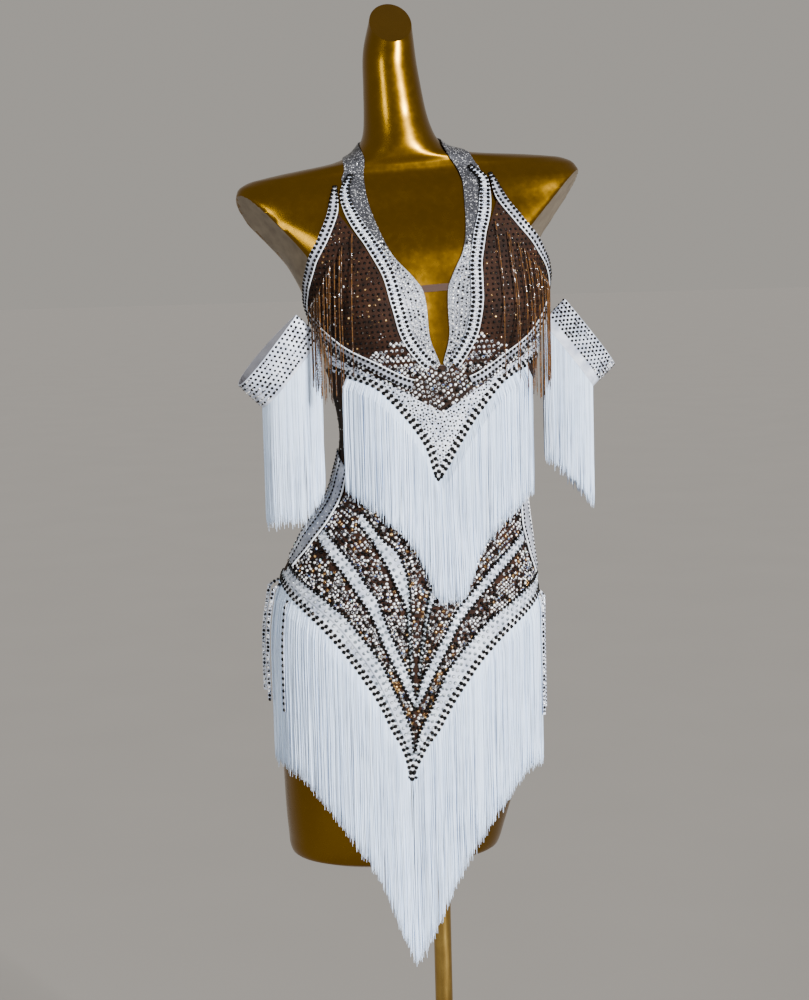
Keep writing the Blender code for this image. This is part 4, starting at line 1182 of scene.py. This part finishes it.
# The armbands are flattened loops that lean out, down and back. The long way runs from the middle to
# the loop's outer end, the wide way down across the band, and hem is the fringe's foot as (x, height)
armbands = {
    "Left": {"middle": (-182, -27, 1212), "reach": 55, "depth": 34, "slope": 49, "back": 16,
             "width": 40, "widthSlope": 45, "widthBack": 9, "stoned": 0.95,
             "hem": [(-213, 1018), (-165, 1020), (-112, 1092)]},
    "Right": {"middle": (180, -21, 1222), "reach": 52, "depth": 30, "slope": 52, "back": 12,
              "width": 38, "widthSlope": 45, "widthBack": 3, "stoned": 0.72,
              "hem": [(112, 1100), (145, 1080), (200, 1024)]},
    "columns": 132, "rows": 13, "pinch": 0.35, "wall": 1.2, "creaseRise": 0.5, "creases": (3, 7),
    "creaseStart": (1.1, 0.4), "creaseLean": 2,
    "stoneRows": 7, "pitch": 6.0, "jet": 3.8, "crystal": 3.4, "crystalShare": 0.3, "brightEnd": 0.45,
    "endSlope": 2.2, "endStart": 1.1,
    "strands": 380, "ragged": 4, "fringeDrop": 0.3,
}


def downward(sign, slope, back):
    slope, back = math.radians(slope), math.radians(back)
    return np.array([sign * math.cos(slope) * math.cos(back), math.sin(back),
                     -math.sin(slope) * math.cos(back)])


def closedUp(ring):
    return np.concatenate([ring, ring[:1]])


def makeArmband(side, sign):
    # returns the loop's lower rim and the way out of it, for the fringe
    look, size = armbands, armbands[side]
    longWay = downward(sign, size["slope"], size["back"]) * size["reach"]
    wideWay = downward(-sign, size["widthSlope"], size["widthBack"]) * size["width"]
    deepWay = np.cross(longWay, wideWay)
    deepWay *= size["depth"] / np.linalg.norm(deepWay)
    middle = np.array(size["middle"], float)
    around = (np.arange(look["columns"]) * 2 * math.pi / look["columns"])[:, None]
    roundness = 1 - look["pinch"] * (1 - np.cos(around))
    loop = middle + np.cos(around) * longWay + np.sin(around) * roundness * deepWay
    outward = unit(np.cross(np.roll(loop, -1, axis=0) - np.roll(loop, 1, axis=0), wideWay))
    outward *= np.sign((outward[0] * longWay).sum())
    share = np.linspace(-0.5, 0.5, look["rows"])[:, None]
    (few, many), (first, second) = look["creases"], look["creaseStart"]
    crease = look["creaseRise"] * np.sin(few * around.T + first + look["creaseLean"] * share)
    crease = crease * np.sin(many * around.T + second)
    crease = (crease * (1 - share ** 2 * 3))[..., None]
    inner = loop + share[..., None] * wideWay + outward * (crease - look["wall"] / 2)
    outer = inner + outward * look["wall"]
    piece = wallPiece(f"armband{side}", inner, outer, ["whiteSatin", "greyLining"], closed=True, lining=1)
    group = f"armStones{side}"
    declareSheet(piece, (inner + outer) / 2, (group, f"armFringe{side}"), (), closed=True)
    for k in range(look["stoneRows"]):
        r = (0.5 + k) / look["stoneRows"] * size["stoned"]
        line = closedUp(outer[0] * (1 - r) + outer[-1] * r)
        length = travelled(line)
        pitch = length[-1] / round(length[-1] / look["pitch"])
        steps = np.arange(0, length[-1] - 1, pitch) + (k % 2) * pitch / 2
        # black stones with crystals between them, and more crystals towards the outer end
        for name, shift in (("jet", 0), ("crystal", pitch / 2)):
            points = alongLine(line, length, steps + shift)
            normals = alongLine(closedUp(outward), length, steps + shift)
            along = (points - middle) @ longWay / size["reach"] ** 2
            end = np.clip(along * look["endSlope"] - look["endStart"], 0, 1)
            rest = look["crystalShare"]
            keep = chance.random(len(points)) < (1 if name == "jet" else rest + (1 - rest) * end)
            bright = chance.random(len(points)) < look["brightEnd"] * end
            kinds = np.where(bright, kind["crystal"], kind[name])
            keepStones(group, points[keep], normals[keep], look[name], kinds[keep])
    return loop + wideWay / 2, outward


formSlices = {}
sliceHeight = 6.0  # how far apart the outlines lie that a strand is kept out of
besideStrand = 7  # how much of an outline counts, to each side of a strand


def formSlice(height):
    # the form's outline at one true height, and its middle
    low, high = sectionTable[0, 0], sectionTable[-1, 0]
    angles, level = np.arange(-180, 180, 2.0), float(np.clip(height, low, high))
    centreX, tilt = (float(smoothColumn(sectionTable[:, 0], sectionTable[:, k], [level])[0]) for k in (1, 6))
    across = formPoint(paired(angles, level))[:, 0] - centreX
    heights = np.clip(height - across * math.tan(math.radians(tilt)), low, high)
    outline = formPoint(paired(angles, heights))[:, :2]
    return outline, outline.mean(0)


def reachOfForm(height, origin, outward):
    # how far out the form reaches beside a strand
    key = round(height / sliceHeight)
    if key not in formSlices:
        formSlices[key] = formSlice(max(key * sliceHeight, sectionTable[0, 0]))
    outline, centre = formSlices[key]
    away = outline - origin
    sideways, ahead = away @ np.array([-outward[1], outward[0]]), away @ outward
    near = (np.abs(sideways) < besideStrand) & ((outline - centre) @ outward > 0)
    return ahead[near].max() if near.any() else 0.0


strandLook = {
    "steps": 26, "levels": 12, "sway": 1.2, "swayOver": 120, "swaySpeed": (0.6, 1.5),
    "lockWidth": 4.0, "lockScatter": 0.12, "gather": 0.22, "gatherPower": 1.6,
    "radius": 0.6, "columns": 4, "tip": 0.35, "ragged": 3.8, "rise": 1.5, "spread": 2.6,
    "lift": 0.2, "liftScatter": (-0.3, 0.5), "past": 3,
    "tone": 0.72, "lockLightAndShade": 1.1, "strandTone": 0.25, "shaded": (0.07, 0.3),
    "parting": 1.7, "partingAcross": 6,
}


def pushedOut(start, outward, heights, clearance):
    # how far out a strand has come at each height, and it never falls back in
    outs = [reachOfForm(height, start[:2], outward[:2]) + clearance for height in heights]
    outs = np.pad(np.maximum.accumulate(np.maximum(outs, 0)), 2, mode="edge")
    outs = np.convolve(outs, np.ones(5) / 5, "valid")
    outs[0] = 0
    return outs


def hang(starts, outwards, tips, clearance, levels=strandLook["levels"], sway=strandLook["sway"]):
    # strands that fall straight, pushed out where the form swells, and gather into locks lower down
    look, count, steps = strandLook, len(starts), strandLook["steps"]
    along = travelled(starts)
    lock = np.floor(along / look["lockWidth"]) + 0.5 + chance.normal(0, look["lockScatter"], count)
    pull = (lock * look["lockWidth"] - along) * look["gather"]
    sideways = np.stack([-outwards[:, 1], outwards[:, 0], np.zeros(count)], -1)
    direction = np.sign(((starts[-1] - starts[0]) * sideways[count // 2]).sum()) or 1.0
    phase, speed = chance.random(count) * 6.3, chance.uniform(*look["swaySpeed"], count)
    t, picks = np.linspace(0, 1, levels), np.linspace(0, steps - 1, levels)
    paths = np.zeros((count, levels, 3))
    for i in range(count):
        heights = np.linspace(starts[i, 2], tips[i], steps)
        outs = np.zeros(steps)
        if clearance is not None:
            outs = pushedOut(starts[i], outwards[i], heights, clearance[i])
        outs = np.interp(picks, np.arange(steps), outs)
        heights = np.interp(picks, np.arange(steps), heights)
        drop = (heights[0] - heights) / look["swayOver"]
        swing = sway * np.minimum(drop, 1)
        shift = pull[i] * t ** look["gatherPower"] * direction
        shift = shift + swing * np.sin(phase[i] + speed[i] * drop * 3) * 0.6
        depth = 0.5 * swing * np.sin(phase[i] * 2 + drop * 2.3)
        paths[i] = starts[i] + outwards[i] * (outs + depth)[:, None] + sideways[i] * shift[:, None]
        paths[i, :, 2] = heights
    return paths


def level(normals):
    return unit(normals * (1, 1, 0))


def makeFringe(name, paths):
    # neighbours share some of their tone, painted light and shade, so that the fringe falls in soft light and
    # dark locks
    look, count = strandLook, len(paths)
    locks = np.convolve(chance.random(count + 4), np.ones(5) / 5, "valid")
    spread = look["strandTone"]
    tones = look["tone"] + (locks - 0.5) * look["lockLightAndShade"] + chance.uniform(-spread, spread, count)
    # some strands are painted dark, as the shadow in the gaps between them
    tones[chance.random(count) < look["shaded"][0]] *= look["shaded"][1]
    tubePiece(name, paths, look["radius"], look["columns"], "whiteFringe", np.clip(tones, 0, 1), look["tip"])


# The fringes of the dress. A hem is a table of (angle, height)
fringes = {
    "bodice": {"strands": 760, "reach": (-57, 55), "clearance": 7.6,
               "hem": [(0, 926), (5, 928), (9, 946), (14, 970), (19, 992), (29, 1014), (38, 1030),
                       (58, 1056)],
               "turned": 2.5},  # how far the fringe's point is turned to +X, in degrees
    "skirtFront": {"strands": 1500, "reach": (-98, 98), "clearance": 3.4,
                   "hem": [(0, 486), (4, 513), (9, 548), (14, 584), (22, 620), (32, 656), (46, 692),
                           (58, 714), (76, 722), (98, 724)],
                   "lowerFrom": 46, "lowerOver": 40},  # on the +X side the hem goes on falling
    "skirtBack": {"strands": 760, "reach": (-82, 82), "clearance": 3.4,
                  "hem": [(98, 724), (135, 690), (180, 652)]},
    "tapeWall": 0.7, "tapeOffsets": (-9.0, -0.4, 4), "bodiceTape": 57, "frontTape": 97,
    "backTape": 81, "backTapeOffsets": (0.4, 9, 4),
}


def edgeStrands(look, heightOf, tipOf, facing=0.0):
    # strands in even places along an edge, and facing is 180 for angles from the centre back
    count, lift = look["strands"], layers["tape"] + strandLook["lift"]
    fine = np.linspace(*look["reach"], 800)
    length = travelled(formPoint(paired(fine + facing, heightOf(fine)))[:, :2])
    steps = (np.arange(count) + chance.uniform(0.1, 0.9, count)) * length[-1] / count
    angles = np.interp(steps, length, fine)
    places = paired(angles + facing, heightOf(angles) + strandLook["rise"])
    starts = onDress(places, lift + chance.uniform(*strandLook["liftScatter"], count))
    tips = tipOf(angles) + chance.normal(0, 1, count) * strandLook["ragged"] + strandLook["past"]
    clearance = look["clearance"] + chance.uniform(0, 1, count) * strandLook["spread"]
    return hang(starts, level(formNormal(places)), tips, clearance)


def makeTape(name, runs):
    # the woven heading of a fringe, under the stones of its edge
    for k, places in enumerate(runs):
        inner = onDress(places, layers["tape"])
        outer = onDress(places, layers["tape"] + fringes["tapeWall"])
        wallPiece(f"{name}{k or ''}", inner, outer, ["fringeTape"])


def frontTape(name, edge, reach):
    offsets = np.linspace(*fringes["tapeOffsets"])
    makeTape(name, [besideEdge(edge, sign, reach, offsets, 120) for sign in sides.values()])


def partedFringe(paths):
    # the strands part under the point, and close again lower down
    away = paths[:, 0, 0] - paths[np.argmin(paths[:, 0, 2]), 0, 0]
    push = np.clip(1 - np.abs(away) / strandLook["partingAcross"], 0, 1)
    push = np.sign(away) * strandLook["parting"] * push
    paths[..., 0] += push[:, None] * np.clip(1.2 - 1.4 * np.linspace(0, 1, paths.shape[1]), 0, 1)
    return paths


def makeDressFringes():
    look = fringes["bodice"]
    paths = edgeStrands(look, lambda a: edgeHeight(pointPanel["edge"], a),
                        lambda a: edgeHeight(fringes["bodice"]["hem"], a - fringes["bodice"]["turned"]))
    makeFringe("bodiceFringe", paths)
    frontTape("bodiceFringeTape", pointPanel["edge"], fringes["bodiceTape"])
    front, back = fringes["skirtFront"], fringes["skirtBack"]
    paths = edgeStrands(front, lambda a: edgeHeight(hips["edge"], a),
                        lambda a: edgeHeight(front["hem"], a)
                        - np.clip(a - front["lowerFrom"], 0, front["lowerOver"]) / 2)
    makeFringe("skirtFringeFront", partedFringe(paths))
    frontTape("skirtFringeFrontTape", hips["edge"], fringes["frontTape"])
    paths = edgeStrands(back, lambda a: behind(backPieces["hipEdge"], a), lambda a: behind(back["hem"], a),
                        facing=180.0)
    makeFringe("skirtFringeBack", paths)
    turn = np.linspace(-fringes["backTape"], fringes["backTape"], 160)
    height = behind(backPieces["hipEdge"], turn) + np.linspace(*fringes["backTapeOffsets"])[:, None]
    makeTape("skirtFringeBackTape", [paired(turn + 180, height)])


def makeArmFringe(side, rim, outward):
    look, count = armbands, armbands["strands"]
    rim = closedUp(rim)
    length = travelled(rim)
    steps = (np.arange(count) + chance.random(count)) * length[-1] / count
    starts = alongLine(rim, length, steps)
    starts[:, 2] -= look["fringeDrop"]
    hem = np.array(look[side]["hem"], float)
    tips = smoothColumn(hem[:, 0], hem[:, 1], starts[:, 0]) + chance.normal(0, 1, count) * look["ragged"]
    outwards = level(alongLine(closedUp(outward), length, steps))
    makeFringe(f"armFringe{side}", hang(starts, outwards, tips, None))


makeDressFringes()
for side, sign in sides.items():
    makeArmFringe(side, *makeArmband(side, sign))
print("fringes made")

# Bead strings on the cups: thread with tube beads. start and ends are tables of (angle, height)
beadStrings = {
    "start": [(23, 1362), (31, 1347), (46, 1323), (60, 1299), (74, 1284)],
    "ends": [(23, 1196), (34, 1176), (50, 1164), (60, 1172), (74, 1190)],
    "angles": [23, 30, 32, 37.5, 42, 43.5, 45, 49.5, 51, 54.5, 56.5, 58, 59.5, 62, 63.5, 65, 66.5, 68,
               69.5, 71, 72.5],
    "scatter": 0.6, "ragged": 5, "clear": 5.6, "spread": 2.0, "levels": 20, "sway": 1.0, "lift": 1.2,
    "bead": 5.6, "gap": 0.5, "radius": 0.62, "inset": 0.35, "thread": 0.3, "threadTone": 0.2,
}


def makeBeadStrings(side, sign):
    look, bead, inset = beadStrings, beadStrings["bead"], beadStrings["inset"]
    angles = np.array(look["angles"]) + chance.normal(0, look["scatter"], len(look["angles"]))
    places = paired(angles * sign, edgeHeight(look["start"], angles))
    starts = onDress(places, layers["band"] + look["lift"])
    tips = edgeHeight(look["ends"], angles) + chance.normal(0, look["ragged"], len(angles))
    clearance = look["clear"] + chance.uniform(0, look["spread"], len(angles))
    paths = hang(starts, level(formNormal(places)), tips, clearance, look["levels"], look["sway"])
    rings = []
    for path in paths:
        length = travelled(path)
        for start in np.arange(1.0, length[-1] - bead, bead + look["gap"]):
            marks = [start, start + inset, start + bead - inset, start + bead]
            rings.append(alongLine(path, length, marks))
    tones = chance.random(len(rings))
    tubePiece(f"beadFringe{side}", np.array(rings), look["radius"], 6, "amberBeads", tones, 0.8)
    tubePiece(f"beadThread{side}", paths, look["thread"], 4, "amberBeads",
              np.full(len(paths), look["threadTone"]))


for side, sign in sides.items():
    makeBeadStrings(side, sign)
print("bead strings made")


def towards(azimuth, elevation):
    # the direction from the dress to a place round it; azimuth 0 is straight in front
    azimuth, elevation = math.radians(azimuth), math.radians(elevation)
    return Vector((math.sin(azimuth) * math.cos(elevation), -math.cos(azimuth) * math.cos(elevation),
                   math.sin(elevation)))


# Strips of stones that hang over the skirt fringe at each side. A strip is its name, angle, the way it
# faces, top, foot, clearance, pitch, size, kinds
sideStrips = {
    "strips": [
        ("Left0", -93, -35, 932, 806, 15.0, 5.0, 4.8, {"crystal": 0.8, "jet": 0.2}),
        ("Left1", -83, -35, 930, 800, 12.0, 5.0, 4.8, {"crystal": 0.7, "jet": 0.3}),
        ("Left2", -67, -60, 915, 792, 8.6, 7.8, 5.4, {"jet": 1.0}),
        ("Right0", 84, 35, 930, 772, 9.6, 5.0, 4.8, {"crystal": 0.7, "jet": 0.3}),
        ("Right1", 76, 35, 926, 766, 9.0, 5.0, 4.8, {"crystal": 0.6, "jet": 0.4}),
    ],
    "halfWidth": 2.3, "wall": 0.6, "levels": 40, "sway": 0.8, "lift": 0.4,
}


def makeSideStrips():
    look = sideStrips
    for name, angle, facing, top, foot, clearance, pitch, size, shares in look["strips"]:
        place = np.array([[angle, top]], float)
        path = hang(onDress(place, layers["band"] + look["lift"]), level(formNormal(place)), [foot],
                    [clearance], look["levels"], look["sway"])[0]
        outward = np.array(towards(facing, 0))
        sideways = np.array([-outward[1], outward[0], 0])
        grid = path[:, None] + sideways * (np.array([-1, 0, 1]) * look["halfWidth"])[None, :, None]
        wallPiece(f"sideStrip{name}", grid, grid + outward * look["wall"], ["whiteSatin"])
        length = travelled(path)
        points = alongLine(path, length, np.arange(2, length[-1], pitch)) + outward * look["wall"]
        normals = np.broadcast_to(outward, points.shape)
        keepStones("sideStones", points, normals, size, mixedKinds(len(points), shares))


makeSideStrips()
print("side strips made")

for group, stones in allStones.items():
    stonePiece(group, stones)
print("stones set:", sum(len(part[0]) for stones in allStones.values() for part in stones))

leastFilled = 0.34  # a pointed piece is cut from less than its own length
for piece, width, length, area, restsOn, carried in sheets:
    length = min(length, area / (leastFilled * width))
print("sheets declared:", len(sheets))

# The floor, the lights and the camera, in metres and degrees
room = {
    "aim": (-0.034, 0, 1.036), "azimuth": -6.0, "elevation": 7.6, "roll": 1.5, "distance": 2.2,
    "lens": 64.8, "sensor": 36.0,
    "world": (0.385, 0.365, 0.335), "floor": (0.345, 0.325, 0.299), "floorHalf": 60.0,
    "flash": {"azimuth": 33, "elevation": 14, "width": 8, "strength": 9.0, "colour": (0.98, 0.985, 1.0)},
    "strip": {"place": (-1.75, -1.7, 1.45), "size": (0.4, 1.3), "power": 26, "colour": (0.90, 0.95, 1.0)},
}


def makeFloor():
    half, colour = room["floorHalf"], room["floor"]
    corners = [(-half, -half, 0), (half, -half, 0), (half, half, 0), (-half, half, 0)]
    mesh = bpy.data.meshes.new("floor")
    mesh.from_pydata(corners, [], [(0, 1, 2, 3)])
    tree, shader = newFinish("paleFloor", colour, 0.85)
    toned(tree, shader, noise(tree, 400), [(0.3, tuple(c * 0.97 for c in colour)), (0.7, colour)])
    mesh.materials.append(finishes["paleFloor"])
    newObject("floor", mesh)


def makeLights():
    world = bpy.data.worlds.new("studio")
    world.use_nodes = True
    world.node_tree.nodes["Background"].inputs["Color"].default_value = (*room["world"], 1)
    bpy.context.scene.world = world
    look = room["flash"]
    data = bpy.data.lights.new("flash", "SUN")
    data.energy, data.angle, data.color = look["strength"], math.radians(look["width"]), look["colour"]
    direction = towards(look["azimuth"], look["elevation"])
    newObject("flash", data).rotation_euler = direction.to_track_quat("Z", "Y").to_euler()
    look = room["strip"]
    data = bpy.data.lights.new("stripLeft", "AREA")
    data.shape = "RECTANGLE"
    data.size, data.size_y = look["size"]
    data.energy, data.color = look["power"], look["colour"]
    light = newObject("stripLeft", data)
    light.location = look["place"]
    direction = Vector(room["aim"]) - Vector(look["place"])
    light.rotation_euler = direction.to_track_quat("-Z", "Y").to_euler()


def makeCamera():
    roll = math.radians(room["roll"])
    back = towards(room["azimuth"], room["elevation"])
    right = (-back).cross(Vector((0, 0, 1))).normalized()
    up = right.cross(-back)
    turnedRight = right * math.cos(roll) - up * math.sin(roll)
    turnedUp = up * math.cos(roll) + right * math.sin(roll)
    data = bpy.data.cameras.new("mainView")
    data.lens, data.sensor_width = room["lens"], room["sensor"]
    camera = newObject("camera", data)
    rotation = Matrix((turnedRight, turnedUp, back)).transposed()
    place = Matrix.Translation(Vector(room["aim"]) + back * room["distance"])
    camera.matrix_world = place @ rotation.to_4x4()
    bpy.context.scene.camera = camera


makeFloor()
makeLights()
makeCamera()
bpy.context.view_layer.update()
